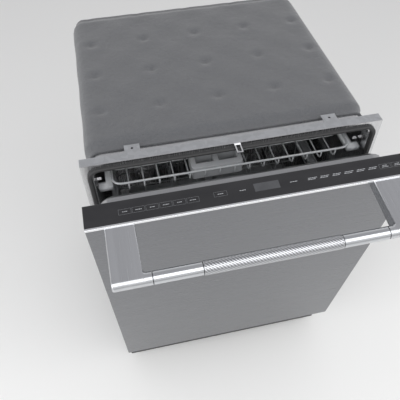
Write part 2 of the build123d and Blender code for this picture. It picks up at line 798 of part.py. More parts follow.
def make_panel():
    """Brushed outer skin folded round the door's sides and foot, with clearance holes for the handle screws."""
    top = door_top - trim_height
    side_depth = shell_depth - 4
    outer = block(spread(door_half), (0, side_depth), (door_foot, top))
    outer = fillet(outer.edges().filter_by(Axis.Z).group_by(Axis.Y)[0], skin + 1.5)
    inner = block(spread(door_half - skin), (skin, side_depth + 1), (door_foot + skin, top + 1))
    inner = fillet(inner.edges().filter_by(Axis.Z).group_by(Axis.Y)[0], 1.5)
    panel = outer - inner
    panel -= block(spread(door_half + 1), (skin + 1.6, side_depth + 1), (strip_foot - seat_gap, top + 1))
    corner = block((base_half - 4, door_half - skin), (skin, side_depth + 1), (door_foot - 1, door_foot + skin + 1))
    panel -= corner
    panel -= other_side(corner)
    for x in handle_screw_places():
        panel -= prism_y(x, (-1, skin + 1), bar_height, screw_shank + 0.3, 8)
    return panel


def handle_screw_places():
    """X of the four screws that hold the handle's arms."""
    places = [arm_inner + screw_inset, arm_outer - screw_inset]
    return [-x for x in places] + places


def make_trim():
    """Polished bar along the front of the door's top edge."""
    bar = block(spread(door_half), (0, trim_depth), (door_top - trim_height, door_top))
    return fillet(bar.edges().filter_by(Axis.X).group_by(Axis.Y)[0], 1.2)


def make_strip():
    """Glossy control strip: a hollow moulding with a window pocket, board posts and the latch's seat."""
    y = (trim_depth, shell_depth)
    strip = block(spread(door_half), y, (strip_foot, door_top))
    strip = fillet(strip.edges().filter_by(Axis.X).group_by(Axis.Y)[-1].group_by(Axis.Z)[-1], 1.5)
    strip -= block(spread(door_half - strip_wall), (y[0] + strip_wall, y[1] - strip_wall),
                   (strip_foot - 1, door_top - strip_wall))
    strip -= window_box(seat_gap / 3)
    for x in board_posts:
        strip += block((x - 2.5, x + 2.5), (24.5, 29.5), (board_top, door_top - strip_wall + 0.5))
    return strip - block(spread(latch_half + seat_gap), (latch_front, y[1] + 1), (strip_foot - 1, latch_top))


def window_box(slack):
    """The space of the display window, grown by slack at its edges."""
    return block((window_left - slack, window_left + window_width + slack),
                 (window_front - slack, window_front + window_depth + slack),
                 (door_top - window_thickness, door_top + slack))


def make_board():
    """Control board hung under the strip."""
    z = (board_top - board_thickness, board_top)
    board = block(board_x, (9, 23), z)
    board += block((board_x[0], -40), (23, 44), z)
    board += block((40, board_x[1]), (23, 44), z)
    for x in (-150, 60, 120):
        board += block((x, x + 14), (12, 21), (board_top - 6, board_top - 1))
    return board


def make_liner():
    """Stainless inner door: a flat flange with a deep-drawn pan, cut for the dispenser and the vent."""
    corner, edge = 24.0, 10.0
    plate_y = (shell_depth - liner_plate, shell_depth)
    flange = block(spread(door_half - skin - 0.5), plate_y, (door_foot + skin + 1, strip_foot - 0.5))
    notch = block((base_half - 4, door_half), (plate_y[0] - 1, plate_y[1] + 1), (door_foot, hinge_height + 54))
    flange = flange - notch - other_side(notch)
    lip = block(spread(liner_half), (plate_y[0] - 1, shell_depth), (strip_foot - 0.5, door_top))
    outer = dished(liner_half, (plate_y[0], liner_back), (liner_foot, liner_top), corner, edge)
    inner = dished(liner_half - liner_plate, (shell_depth - 5, liner_back - liner_plate),
                   (liner_foot + liner_plate, liner_top - liner_plate), corner - liner_plate, edge)
    liner = flange + outer - inner - lip
    liner -= block((dispenser_x[0] - 1, dispenser_x[1] + 1), (shell_depth, liner_back + 1),
                   (dispenser_z[0] - 1, dispenser_z[1] + 1))
    return liner - prism_y(vent_x, (shell_depth, liner_back + 1), vent_z, vent_radius + 1, 20)


def make_dispenser():
    """Dispenser moulding in the liner: face plate, detergent cup, rinse aid socket and the lid's two guides."""
    plate = block((dispenser_x[0] - dispenser_lip, dispenser_x[1] + dispenser_lip), (liner_back, dispenser_face),
                  (dispenser_z[0] - dispenser_lip, dispenser_z[1] + dispenser_lip))
    plate = fillet(plate.edges().filter_by(Axis.Y), 8)
    body = plate + block(dispenser_x, (liner_back - 28, liner_back + 1), dispenser_z)
    body -= block((5, lid_width - 5), (dispenser_face - 24, dispenser_face + 1), (lid_z[0] + 5, lid_z[1] - 5))
    for z in ((lid_z[0] - 4, lid_z[0] - seat_gap), (lid_z[1] + seat_gap, lid_z[1] + 4)):
        body += block((0, lid_width + lid_travel), (dispenser_face - 1, dispenser_face + 2.6), z)
    return body - rod_y(cap_x, (dispenser_face - 12, dispenser_face + 1), cap_z, plug_radius + running_gap)


def make_lid():
    """Detergent lid that slides sideways between its guides."""
    y = (dispenser_face + seat_gap, dispenser_face + 2.5)
    lid = block((0, lid_width), y, lid_z)
    grip = block((lid_width - 14, lid_width - 10), (y[1] - 0.5, y[1] + 1.2), (lid_z[0] + 16, lid_z[1] - 16))
    return lid + grip


def make_rinse_cap():
    """Rinse aid cap: a round plug with a bar to turn it by."""
    cap = prism_y(cap_x, (dispenser_face + seat_gap, dispenser_face + 2.2), cap_z, cap_radius, 24)
    cap += rod_y(cap_x, (dispenser_face - 10, dispenser_face + 1), cap_z, plug_radius)
    return cap + block((cap_x - 13, cap_x + 13), (dispenser_face + 1.5, dispenser_face + 4), (cap_z - 2, cap_z + 2))


def make_vent():
    """Round drying vent in the liner with level slats."""
    sides = 20
    vent = prism_y(vent_x, (liner_back, liner_back + 2), vent_z, vent_radius + 4, sides)
    vent += prism_y(vent_x, (liner_back - 14, liner_back + 1), vent_z, vent_radius, sides)
    vent -= prism_y(vent_x, (liner_back - 12, liner_back + 3), vent_z, vent_radius - 3, sides)
    for rise in (-12, 0, 12):
        half = (vent_radius ** 2 - rise ** 2) ** 0.5 - 2
        vent += block((vent_x - half, vent_x + half), (liner_back - 5, liner_back - 1),
                      (vent_z + rise - 1.5, vent_z + rise + 1.5))
    return vent


def make_sound_pad():
    """Sound pad glued inside the outer skin, ending below the handle's screws and inside the hinges."""
    return block(spread(base_half - 6), (skin, skin + pad_thickness), (door_foot + 12, strip_foot - 10))


def make_latch_body():
    """Latch housing in the middle of the strip: a mouth for the strike and a pin for the hook."""
    y = (latch_front + seat_gap, shell_depth - 0.5)
    foot = latch_top - latch_height
    body = block(spread(latch_half), y, (foot, latch_top - seat_gap))
    body -= block(spread(mouth_half), (30, shell_depth + 1), (flange_top - 8, latch_top + 1))
    body -= block(spread(hook_half + 0.6), (29, shell_depth + 1), (foot + 1.5, latch_top + 1))
    return body + rod_x(spread(hook_half + 1.5), hook_y, hook_z, hook_pin)


def make_hook():
    """Latch hook lying open: an eye on the pin and a finger that turns up behind the strike's bar."""
    eye = prism_x(spread(hook_half), hook_y, hook_z, 4.0, 12)
    finger = Pos(0, -hook_length / 2, 0) * Box(2 * hook_half, hook_length, 3)
    hook = eye + Pos(0, hook_y, hook_z) * Rot(-20, 0, 0) * finger
    return hook - rod_x(spread(hook_half + 1), hook_y, hook_z, hook_pin + running_gap)


def make_arm(side):
    """Handle arm: a wide flat bar with a half-round nose, flared at the back of the stub that takes the bar."""
    top = bar_height + bar_radius
    bottom = bar_height - bar_radius
    outline = [Line((0, 0, top), (0, -bar_reach, top)),
               ThreePointArc((0, -bar_reach, top), (0, -bar_reach - bar_radius, bar_height), (0, -bar_reach, bottom)),
               Line((0, -bar_reach, bottom), (0, 0, bottom)), Line((0, 0, bottom), (0, 0, top))]
    profile = make_face(outline)
    arm = Pos(arm_inner, 0, 0) * extrude(profile, arm_width, dir=(1, 0, 0))
    flare = tapered((0, 0), (bar_radius + arm_blend, 0), (bar_radius + 0.5, arm_blend), 16)
    flare = Pos(arm_inner, -bar_reach, bar_height) * Rot(0, -90, 0) * flare
    arm += flare & Pos(arm_inner - arm_blend, 0, 0) * extrude(profile, arm_blend, dir=(1, 0, 0))
    arm += rod_x((arm_inner - stub_length, arm_inner + 5), -bar_reach, bar_height, bar_radius)
    for x in (arm_inner + screw_inset, arm_outer - screw_inset):
        arm -= prism_y(x, (-screw_reach - 2, 1), bar_height, screw_shank + 0.15, 8)
    return arm if side > 0 else other_side(arm)


def make_sleeves():
    """Smooth bar lengths between each arm and the grip."""
    inner = grip_half + ring_width
    outer = arm_inner - stub_length - ring_width
    return pair(rod_x((inner, outer), -bar_reach, bar_height, bar_radius))


def make_grip():
    """Thicker middle of the bar, knurled on the real handle."""
    return rod_x(spread(grip_half), -bar_reach, bar_height, grip_radius)


def make_rings():
    """Recessed joint rings between the bar's lengths."""
    neck = bar_radius - groove_depth
    outer = arm_inner - stub_length - ring_width
    near = prism_x((grip_half, grip_half + ring_width), -bar_reach, bar_height, neck, 16)
    far = prism_x((outer, outer + ring_width), -bar_reach, bar_height, neck, 16)
    return group([near, far, other_side(near), other_side(far)])


def make_handle_screws():
    """Hexagon-head screws from inside the skin into the handle's arms."""
    screws = []
    for x in handle_screw_places():
        shank = prism_y(x, (-screw_reach, skin + 1), bar_height, screw_shank, 8)
        screws.append(shank + prism_y(x, (skin, skin + 2.4), bar_height, 7, 6))
    return group(screws)


def make_hinge_arms():
    """Door hinge arms: an eye on the pivot pin and a long angle screwed inside the door's side."""
    x = (base_half + 5, base_half + 8)
    y, z = hinge_setback, hinge_height
    top = z + hinge_arm_rise
    arm = block(x, (y - 12, y + 12), (z, top)) + prism_x(x, y, z, 12, 16)
    arm += block((x[1] - 0.5, door_half - skin), (y - 12, y - 9), (z + 54, top))
    return pair(arm - rod_x((x[0] - 1, x[1] + 1), y, z, pivot_radius + running_gap))


def make_bottom_seal():
    """Rubber lip under the liner's pan."""
    lip = block(spread(liner_half - 4), (shell_depth, shell_depth + 14), (liner_foot - 12, liner_foot - 2))
    return fillet(lip.edges().filter_by(Axis.X).group_by(Axis.Y)[-1], 3)


# Racks


def basket(half, floor, height, floor_cells, side_cells, front_cells):
    """A wire basket of five panels that meet face to face."""
    y = (rack_front, rack_back)
    above = (floor + wire, floor + height)
    between = spread(half - wire)
    panels = [grid_panel(spread(half), y, (floor, floor + wire), floor_cells)]
    side = grid_panel((half - wire, half), y, above, side_cells)
    panels += [side, other_side(side)]
    for near in (rack_front, rack_back - wire):
        panels.append(grid_panel(between, (near, near + wire), above, front_cells))
    return panels


def tines(xs, ys, z):
    """Upright tines standing on the crossings of a basket's floor."""
    half = tine / 2
    return [block((x - half, x + half), (y - half, y + half), z) for x in xs for y in ys]


def make_lower_rack():
    """Deep wire rack with plate tines, wheel axles on hangers and clips for the folding row."""
    panels = basket(lower_half, lower_floor, lower_height, lower_cell_count, (4, 1), (5, 1))
    xs = wire_places(-lower_half, lower_half, lower_cell_count[0])
    ys = wire_places(rack_front, rack_back, lower_cell_count[1])
    panels += tines(xs[1:-1], ys[1:3], (lower_floor + wire, lower_floor + 84))
    for y in axle_places:
        hung = block((lower_half, lower_half + hanger), (y - 9, y + 9), (lower_floor, axle_height + 8))
        hung += prism_x((lower_half, wheel_x[1] + 2), y, axle_height, axle_radius, 8)
        panels += [hung, other_side(hung)]
    for x in (xs[1], xs[-2]):
        clip = block((x - 3, x + 3), (fold_y - 5, fold_y + 5), (lower_floor + wire, fold_z + 5))
        panels.append(clip - rod_x((x - 4, x + 4), fold_y, fold_z, fold_rod + running_gap))
    return group(panels)


def make_wheels(y):
    """Left and right wheel of one axle line."""
    wheel = prism_x(wheel_x, y, axle_height, wheel_radius, 24)
    return pair(wheel - rod_x((wheel_x[0] - 1, wheel_x[1] + 1), y, axle_height, axle_radius + running_gap))


def make_fold_tines():
    """Row of tines on a turning rod, held in the lower rack's two clips."""
    clip_x = wire_places(-lower_half, lower_half, lower_cell_count[0])[-2]
    row = prism_x(spread(clip_x + 6), fold_y, fold_z, fold_rod, 8)
    count = 7
    outer = clip_x - 16
    half = tine / 2
    for i in range(count):
        x = outer * (2 * i / (count - 1) - 1)
        row += block((x - half, x + half), (fold_y - half, fold_y + half), (fold_z, fold_z + fold_height))
    return row


def make_cutlery_basket():
    """Moulded cutlery basket with three wells and a lifting handle."""
    wall = 2.2
    half = lower_half - 138
    y = (rack_back - 108, rack_back - 33)
    z = (lower_floor + wire + seat_gap, lower_floor + 122)
    body = fillet(block(spread(half), y, z).edges().filter_by(Axis.Z), 8)
    well = (2 * half - 4 * wall) / 3
    for i in range(3):
        left = -half + wall + i * (well + wall)
        body -= block((left, left + well), (y[0] + wall, y[1] - wall), (z[0] + wall, z[1] + 1))
    middle = (y[0] + y[1]) / 2
    grip_half_width = well / 2 + wall + 2
    handle = block(spread(grip_half_width), (middle - 5, middle + 5), (z[1] - 12, z[1] + 28))
    handle -= block(spread(grip_half_width - 6), (middle - 6, middle + 6), (z[1] - 13, z[1] + 22))
    return body + handle


def make_upper_rack():
    """Shallower wire rack with cup tines, carried on its own rail members."""
    panels = basket(upper_half, upper_floor, upper_height, upper_cell_count, (3, 1), (4, 1))
    xs = wire_places(-upper_half, upper_half, upper_cell_count[0])
    ys = wire_places(rack_front, rack_back, upper_cell_count[1])
    panels += tines([xs[1], xs[-2]], ys[1:-1], (upper_floor + wire, upper_floor + 60))
    bar = slide_bar(upper_floor + upper_rail_rise, upper_rail, upper_half)
    return group(panels + [bar, other_side(bar)])


def make_upper_pipe():
    """Feed pipe under the upper rack, from the docking port at the back to the spray arm's hub."""
    z = (upper_floor - 17, upper_floor)
    pipe_bar = block(spread(11), (hub_y - 14, dock_y - 0.5), z)
    pipe_bar = chamfer(pipe_bar.edges().filter_by(Axis.Y), 3)
    pipe_bar += prism_z(0, hub_y, (upper_arm[1] + 2 + seat_gap, z[0] + 1), 13, 12)
    return pipe_bar + rod_z(0, hub_y, (upper_arm[0] + 2 + seat_gap, upper_arm[1] + 3), shaft_radius)


def make_tray():
    """Flat third rack for cutlery, with low walls and its own rail members."""
    y = (rack_front, rack_back - 30)
    above = (tray_floor + wire, tray_floor + tray_height)
    panels = [grid_panel(spread(upper_half), y, (tray_floor, tray_floor + wire), (5, 3))]
    side = grid_panel((upper_half - wire, upper_half), y, above, (2, 1))
    panels += [side, other_side(side)]
    for near in (y[0], y[1] - wire):
        panels.append(grid_panel(spread(upper_half - wire), (near, near + wire), above, (3, 1)))
    bar = slide_bar(tray_floor, tray_rail, upper_half)
    return group(panels + [bar, other_side(bar)])


def make_tray_handle():
    """Moulded pull on the tray's front edge with two finger wells."""
    x = (pull_left, pull_left + pull_width)
    y = (rack_front + wire + seat_gap, rack_front + 52)
    z = (tray_floor + wire + seat_gap, tray_floor + tray_height + 3)
    pull = fillet(block(x, y, z).edges().filter_by(Axis.Z), 6)
    for left in (x[0] + 10, x[0] + 58):
        pull -= block((left, left + 38), (y[0] + 14, y[1] - 10), (z[0] + 4, z[1] + 1))
    return pull


# Everything in its place

cabinet = {
    "tub": make_tub(),
    "front_frame": make_front_frame(),
    "door_gasket": make_gasket(),
    "insulation_blanket": make_blanket(),
    "water_chamber": make_water_chamber(),
    "base_pan": make_base(),
    "levelling_feet": make_feet(),
    "kick_plate": make_kick_plate(),
    "balance_springs": make_springs(),
    "hinge_brackets": make_hinge_brackets(),
    "door_strike": make_strike(),
    "sump": make_sump(),
    "filter_plate": make_filter_plate(),
    "filter_cup": make_filter_cup(),
    "overfill_float": make_float(),
    "circulation_pump": make_circulation_pump(),
    "drain_pump": make_drain_pump(),
    "internal_pipes": make_pipes(),
    "heating_element": make_heater(),
    "inlet_valve": make_inlet_valve(),
    "junction_box": make_junction_box(),
    "feed_tube": make_feed_tube(),
    "interior_lamps": make_lamps(),
    "fixed_rails": make_fixed_rails(),
    "lower_spray_arm": make_lower_arm(),
    "top_spray_arm": make_top_arm(),
}

door = {
    "door_panel": make_panel(),
    "edge_trim": make_trim(),
    "control_strip": make_strip(),
    "display_window": window_box(0),
    "control_board": make_board(),
    "door_liner": make_liner(),
    "dispenser_body": make_dispenser(),
    "dispenser_lid": make_lid(),
    "rinse_cap": make_rinse_cap(),
    "door_vent": make_vent(),
    "sound_pad": make_sound_pad(),
    "latch_body": make_latch_body(),
    "latch_hook": make_hook(),
    "handle_arm_left": make_arm(-1),
    "handle_arm_right": make_arm(1),
    "handle_sleeves": make_sleeves(),
    "handle_grip": make_grip(),
    "handle_rings": make_rings(),
    "handle_screws": make_handle_screws(),
    "hinge_arms": make_hinge_arms(),
    "bottom_seal": make_bottom_seal(),
}

lower = {"lower_rack": make_lower_rack(), "fold_tines": make_fold_tines(), "cutlery_basket": make_cutlery_basket()}
for name, y in zip(("front_wheels", "rear_wheels"), axle_places):
    lower[name] = make_wheels(y)

upper = {"upper_rack": make_upper_rack(), "upper_feed_pipe": make_upper_pipe(), "upper_spray_arm": make_upper_arm()}
upper_middle = {"upper_rail_members": middle_rails(upper_floor + upper_rail_rise, upper_rail)}
tray = {"cutlery_tray": make_tray(), "tray_handle": make_tray_handle()}
tray_middle = {"tray_rail_members": middle_rails(tray_floor, tray_rail)}

hinge_line = Axis((0, hinge_setback, hinge_height), (1, 0, 0))
opened = radians(door_ajar)
nose_back = bar_reach + hinge_setback
nose_up = bar_height - hinge_height
front_reach = hinge_setback - nose_back * cos(opened) - nose_up * sin(opened) - bar_radius
centre_y = (front_reach + rear_reach) / 2

placed = {name: Pos(0, -centre_y, 0) * shape for name, shape in cabinet.items()}
for name, shape in door.items():
    placed[name] = Pos(0, -centre_y, 0) * shape.rotate(hinge_line, door_ajar)
for pieces, rate in ((lower, lower_travel_rate), (upper, upper_travel_rate), (upper_middle, upper_travel_rate / 2),
                     (tray, tray_travel_rate), (tray_middle, tray_travel_rate / 2)):
    for name, shape in pieces.items():
        placed[name] = Pos(0, -centre_y - rate * opened, 0) * shape

os.makedirs("parts", exist_ok=True)
for name, shape in placed.items():
    export_step(group([shape]), f"parts/{name}.step")

print("nodes", len(placed))
print("centre_y", round(centre_y, 3), "front reach", round(front_reach, 3))
print("hinge in the row frame", round(hinge_setback - centre_y, 3), hinge_height)
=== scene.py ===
# %% [markdown]
# A built-in dishwasher with its door ajar.
# The solid model comes from CAD and is already the right size, so this notebook does three things: it gives
# each piece the finish of the real one, it makes the pieces whose beauty is in their fine shape (knurled
# grip, round wires, coil springs, felt blanket), and it sets up a plain studio round them.
# All lengths are in metres. X runs right, Y runs from the door towards the wall and Z runs up.

# %% Load the model
import bpy
import json
import math
import numpy as np
from mathutils import Matrix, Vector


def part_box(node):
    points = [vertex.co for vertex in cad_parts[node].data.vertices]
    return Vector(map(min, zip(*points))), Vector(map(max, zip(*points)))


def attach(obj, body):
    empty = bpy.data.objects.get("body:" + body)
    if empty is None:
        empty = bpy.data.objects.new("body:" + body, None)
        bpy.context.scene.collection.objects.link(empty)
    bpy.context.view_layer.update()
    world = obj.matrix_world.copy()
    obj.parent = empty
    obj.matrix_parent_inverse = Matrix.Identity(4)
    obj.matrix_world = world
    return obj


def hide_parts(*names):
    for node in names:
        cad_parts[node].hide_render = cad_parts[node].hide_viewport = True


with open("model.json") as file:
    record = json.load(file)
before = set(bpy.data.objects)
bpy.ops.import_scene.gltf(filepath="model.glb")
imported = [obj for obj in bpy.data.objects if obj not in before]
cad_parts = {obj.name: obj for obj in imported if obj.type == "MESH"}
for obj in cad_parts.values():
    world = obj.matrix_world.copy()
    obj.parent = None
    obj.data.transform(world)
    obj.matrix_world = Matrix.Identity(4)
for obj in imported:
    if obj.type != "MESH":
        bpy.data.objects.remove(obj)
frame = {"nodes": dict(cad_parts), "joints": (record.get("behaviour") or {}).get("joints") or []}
nodes = frame["nodes"]
joints = {joint["name"]: joint for joint in frame["joints"]}
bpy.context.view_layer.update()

# %% [markdown]
# The camera stands in front of the machine, a little to the left, and looks down on the top edge of the
# door. It was fitted to the door's known corners in the photograph, so its three directions are measured
# and not chosen by eye.

# %% Camera
camera_place = (-0.2127, -0.8113, 1.5124)
camera_right = (0.97683955, -0.21386061, -0.00693782)
camera_down = (-0.16835581, -0.74816939, -0.64179349)
camera_forward = (0.13206368, 0.62809728, -0.76684613)
lens_mm = 43.87
sensor_mm = 36.0

camera_data = bpy.data.cameras.new("camera")
camera_data.lens = lens_mm
camera_data.sensor_width = sensor_mm
camera = bpy.data.objects.new("camera", camera_data)
turn = Matrix((camera_right, [-v for v in camera_down], [-v for v in camera_forward])).transposed()
camera.matrix_world = Matrix.Translation(camera_place) @ turn.to_4x4()
bpy.context.scene.collection.objects.link(camera)
bpy.context.scene.camera = camera

# %% [markdown]
# Every finish starts from a Principled shader and adds the texture that the real surface has, read from
# Object coordinates, which are metres in the model's own frame because every object sits at the origin.
# These helpers keep the wiring short: a noise stretched along the way a surface was worked, and the colour,
# roughness or bump it drives.

# %% Texture helpers
noise_low = 0.3
noise_high = 0.7


def set_inputs(node, values):
    """Give each named input of a node its plain value."""
    for name, value in values.items():
        node.inputs[name].default_value = value


def new_material(name, colour, metallic, roughness):
    """A Principled material with its plain values set. Returns the material, its nodes and its shader."""
    made = bpy.data.materials.new(name)
    made.use_nodes = True
    shader = made.node_tree.nodes["Principled BSDF"]
    set_inputs(shader, {"Base Color": (*colour, 1), "Metallic": metallic, "Roughness": roughness})
    return made, made.node_tree, shader


def stretched_noise(tree, stretch, detail=3.0, turn=(0.0, 0.0, 0.0)):
    """Noise on turned coordinates, with stretch spots per metre: one number, or three for X, Y and Z."""
    where = tree.nodes.new("ShaderNodeTexCoord")
    mapping = tree.nodes.new("ShaderNodeMapping")
    mapping.vector_type = "TEXTURE"
    set_inputs(mapping, {"Rotation": turn, "Scale": (1 / np.broadcast_to(stretch, 3)).tolist()})
    noise = tree.nodes.new("ShaderNodeTexNoise")
    set_inputs(noise, {"Scale": 1.0, "Detail": detail})
    tree.links.new(where.outputs["Object"], mapping.inputs["Vector"])
    tree.links.new(mapping.outputs["Vector"], noise.inputs["Vector"])
    return noise.outputs["Fac"]


def vary_roughness(tree, shader, value, low, high):
    """Roughness from low to high as the texture goes from dark to bright."""
    remap = tree.nodes.new("ShaderNodeMapRange")
    set_inputs(remap, {"From Min": noise_low, "From Max": noise_high, "To Min": low, "To Max": high})
    tree.links.new(value, remap.inputs["Value"])
    tree.links.new(remap.outputs["Result"], shader.inputs["Roughness"])


def blend_colour(tree, shader, value, first, second):
    """Base colour from first to second as the texture goes from dark to bright."""
    ramp = tree.nodes.new("ShaderNodeValToRGB")
    for end, position, colour in zip(ramp.color_ramp.elements, (noise_low, noise_high), (first, second)):
        end.position = position
        end.color = (*colour, 1)
    tree.links.new(value, ramp.inputs["Fac"])
    tree.links.new(ramp.outputs["Color"], shader.inputs["Base Color"])


def scaled(colour, factor):
    """The colour made darker or paler by a factor."""
    return tuple(min(1.0, c * factor) for c in colour)


def drift_colour(tree, shader, value, colour, swing):
    """Base colour that drifts darker and paler by a share of itself."""
    blend_colour(tree, shader, value, scaled(colour, 1 - swing), scaled(colour, 1 + swing))


def add_bump(tree, shader, value, depth):
    """Raise the surface by depth metres where the texture is bright."""
    bump = tree.nodes.new("ShaderNodeBump")
    set_inputs(bump, {"Distance": depth, "Strength": 1.0})
    tree.links.new(value, bump.inputs["Height"])
    tree.links.new(bump.outputs["Normal"], shader.inputs["Normal"])


# %% [markdown]
# A studio for metal needs large soft shapes for the metal to mirror: one wide panel high in front, one on
# the left and a weaker one on the right. The world is a pale room with a darker ceiling, because a bar
# looks round only when it mirrors both light and dark. Towards the horizon it takes about the floor's
# shade, so that the edge stays faint.

# %% Floor, lamps and world
def area_lamp(name, place, aim, width, height, power):
    """Add a rectangular lamp at place that faces the point aim."""
    data = bpy.data.lights.new(name, "AREA")
    data.shape = "RECTANGLE"
    data.size = width
    data.size_y = height
    data.energy = power
    lamp = bpy.data.objects.new(name, data)
    lamp.location = place
    direction = np.array(aim) - np.array(place)
    length = np.linalg.norm(direction)
    tilt = math.acos(-direction[2] / length)
    lamp.rotation_euler = (tilt, 0, math.atan2(direction[1], direction[0]) - math.pi / 2)
    bpy.context.scene.collection.objects.link(lamp)


door_middle = (0.0, -0.25, 0.75)
area_lamp("lamp_above", (0.1, -1.5, 2.4), door_middle, 3.2, 1.6, 27.0)
area_lamp("lamp_left", (-2.2, -1.2, 1.5), door_middle, 1.8, 2.0, 24.0)
area_lamp("lamp_right", (2.3, -0.8, 1.2), door_middle, 1.8, 2.0, 14.0)

floor_half = 40.0
floor_mesh = bpy.data.meshes.new("floor")
corners = [(x, y, 0.0) for x, y in ((-1, -1), (1, -1), (1, 1), (-1, 1))]
floor_mesh.from_pydata([(x * floor_half, y * floor_half, z) for x, y, z in corners], [], [(0, 1, 2, 3)])
floor = bpy.data.objects.new("floor", floor_mesh)
bpy.context.scene.collection.objects.link(floor)

pale = (0.89, 0.89, 0.88)
floor_mesh.materials.append(new_material("floor_paint", pale, 0.0, 0.7)[0])

world = bpy.data.worlds.new("studio")
bpy.context.scene.world = world
world.use_nodes = True
tree = world.node_tree
background = tree.nodes["Background"]
place = tree.nodes.new("ShaderNodeTexCoord")
split = tree.nodes.new("ShaderNodeSeparateXYZ")
shade = tree.nodes.new("ShaderNodeValToRGB")
tree.links.new(place.outputs["Generated"], split.inputs[0])
tree.links.new(split.outputs["Z"], shade.inputs["Fac"])
tree.links.new(shade.outputs["Color"], background.inputs["Color"])
horizon, wall, ceiling = 0.66, 0.90, 0.48
wall_height, ceiling_height = 0.22, 0.75
ceiling_blue = 1.03
shade.color_ramp.elements[0].position = 0.0
shade.color_ramp.elements[0].color = (horizon, horizon, horizon, 1)
shade.color_ramp.elements[1].position = ceiling_height
shade.color_ramp.elements[1].color = (ceiling, ceiling, ceiling * ceiling_blue, 1)
shade.color_ramp.elements.new(wall_height).color = (wall, wall, wall, 1)
bpy.context.scene.view_settings.view_transform = "Standard"

# %% [markdown]
# Brushed steel is the machine's main finish. A belt drags grit one way over the sheet, which leaves fine
# parallel scratches: long along the grain, hair-thin across it. Two noises do this: a fine one for the
# scratches, which drives roughness and a very shallow bump, and a broader one for the bands that the belt
# leaves, which drives colour.

# %% Brushed steel
scratches_across = 1100.0
scratches_along = 6.0
bands_across = 130.0
bands_along = 1.2


def brushed_steel(name, colour, grain, roughness, contrast, depth=0.00002, turn=(0.0, 0.0, 0.0), spread=0.25):
    """Steel whose scratches run along the axis named by grain. The spread is how far roughness swings."""
    fine = [scratches_along if axis == grain else scratches_across for axis in "XYZ"]
    band = [bands_along if axis == grain else bands_across for axis in "XYZ"]
    made, tree, shader = new_material(name, colour, 1.0, roughness)
    scratches = stretched_noise(tree, fine, 4.0, turn)
    drift_colour(tree, shader, stretched_noise(tree, band, 2.0, turn), colour, contrast)
    vary_roughness(tree, shader, scratches, roughness * (1 - spread), roughness * (1 + spread))
    add_bump(tree, shader, scratches, depth)
    return made


def knurled_steel(name, crest, groove):
    """Steel that is darker in a knurl's grooves, by the mesh's own attribute: painted shade and grime in the
    grooves.
    """
    made, tree, shader = new_material(name, crest, 1.0, 0.24)
    depth = tree.nodes.new("ShaderNodeAttribute")
    depth.attribute_name = "groove"
    blend_colour(tree, shader, depth.outputs["Fac"], crest, groove)
    return made


door_tilt = math.radians(-joints["door_hinge"]["range_deg"][0])
door_turn = (door_tilt, 0.0, 0.0)
# The door is the same brushed stainless as the arms, bar and tub; its much darker colour is painted shade.
door_steel = brushed_steel("door_steel", (0.215, 0.219, 0.230), "X", 0.27, 0.025, 0.000006, door_turn, 0.12)
arm_steel = brushed_steel("arm_steel", (0.60, 0.61, 0.63), "Y", 0.24, 0.04, 0.000008, door_turn, 0.15)
bar_steel = brushed_steel("bar_steel", (0.60, 0.613, 0.635), "X", 0.15, 0.015, 0.000002, spread=0.1)
# The grip's groove colour is painted shade and grime in the knurl's grooves.
grip_steel = knurled_steel("grip_steel", (0.58, 0.59, 0.61), (0.36, 0.365, 0.38))
tub_steel = brushed_steel("tub_steel", (0.60, 0.60, 0.608), "Z", 0.24, 0.03)
# The liner is the same stainless as the tub; its darker colour is painted shade.
liner_shaded_steel = brushed_steel("liner_shaded_steel", (0.44, 0.445, 0.455), "X", 0.30, 0.02, 0.00001, door_turn, 0.12)

# %% [markdown]
# The other metals are quieter. Polished trim is almost a mirror. Galvanised sheet shows zinc's patchy
# crystals. The heater's sheath is stained straw and blue-brown by heat.

# %% Other metals
def polished_metal(name, colour):
    """A near mirror with the faint waviness of a polished bar."""
    made, tree, shader = new_material(name, colour, 1.0, 0.07)
    waves = stretched_noise(tree, (30.0, 90.0, 90.0), 1.0)
    vary_roughness(tree, shader, waves, 0.05, 0.11)
    add_bump(tree, shader, waves, 0.00001)
    return made


def galvanised_sheet(name, colour):
    """Zinc-coated sheet: cell-shaped crystals, each a little lighter or darker than the next."""
    made, tree, shader = new_material(name, colour, 1.0, 0.45)
    where = tree.nodes.new("ShaderNodeTexCoord")
    cells = tree.nodes.new("ShaderNodeTexVoronoi")
    cells.inputs["Scale"].default_value = 110.0
    tree.links.new(where.outputs["Object"], cells.inputs["Vector"])
    grey = tree.nodes.new("ShaderNodeSeparateColor")
    tree.links.new(cells.outputs["Color"], grey.inputs["Color"])
    drift_colour(tree, shader, grey.outputs["Red"], colour, 0.05)
    vary_roughness(tree, shader, grey.outputs["Green"], 0.40, 0.48)
    return made


def heat_tinted(name):
    """Heater sheath, stained in soft patches."""
    made, tree, shader = new_material(name, (0.35, 0.33, 0.31), 1.0, 0.38)
    blend_colour(tree, shader, stretched_noise(tree, 14.0, 3.0), (0.40, 0.34, 0.27), (0.30, 0.31, 0.34))
    add_bump(tree, shader, stretched_noise(tree, 900.0, 2.0), 0.00003)
    return made


bright_trim = polished_metal("bright_trim", (0.86, 0.865, 0.88))
zinc_sheet = galvanised_sheet("zinc_sheet", (0.52, 0.53, 0.55))
heater_sheath = heat_tinted("heater_sheath")

# %% [markdown]
# Plastics differ by how they were moulded. The control strip is a piano-black moulding with a clear top
# coat. Inner parts have a fine spark-eroded grain that scatters the light, and rubber is duller still, with
# a dusty bloom.

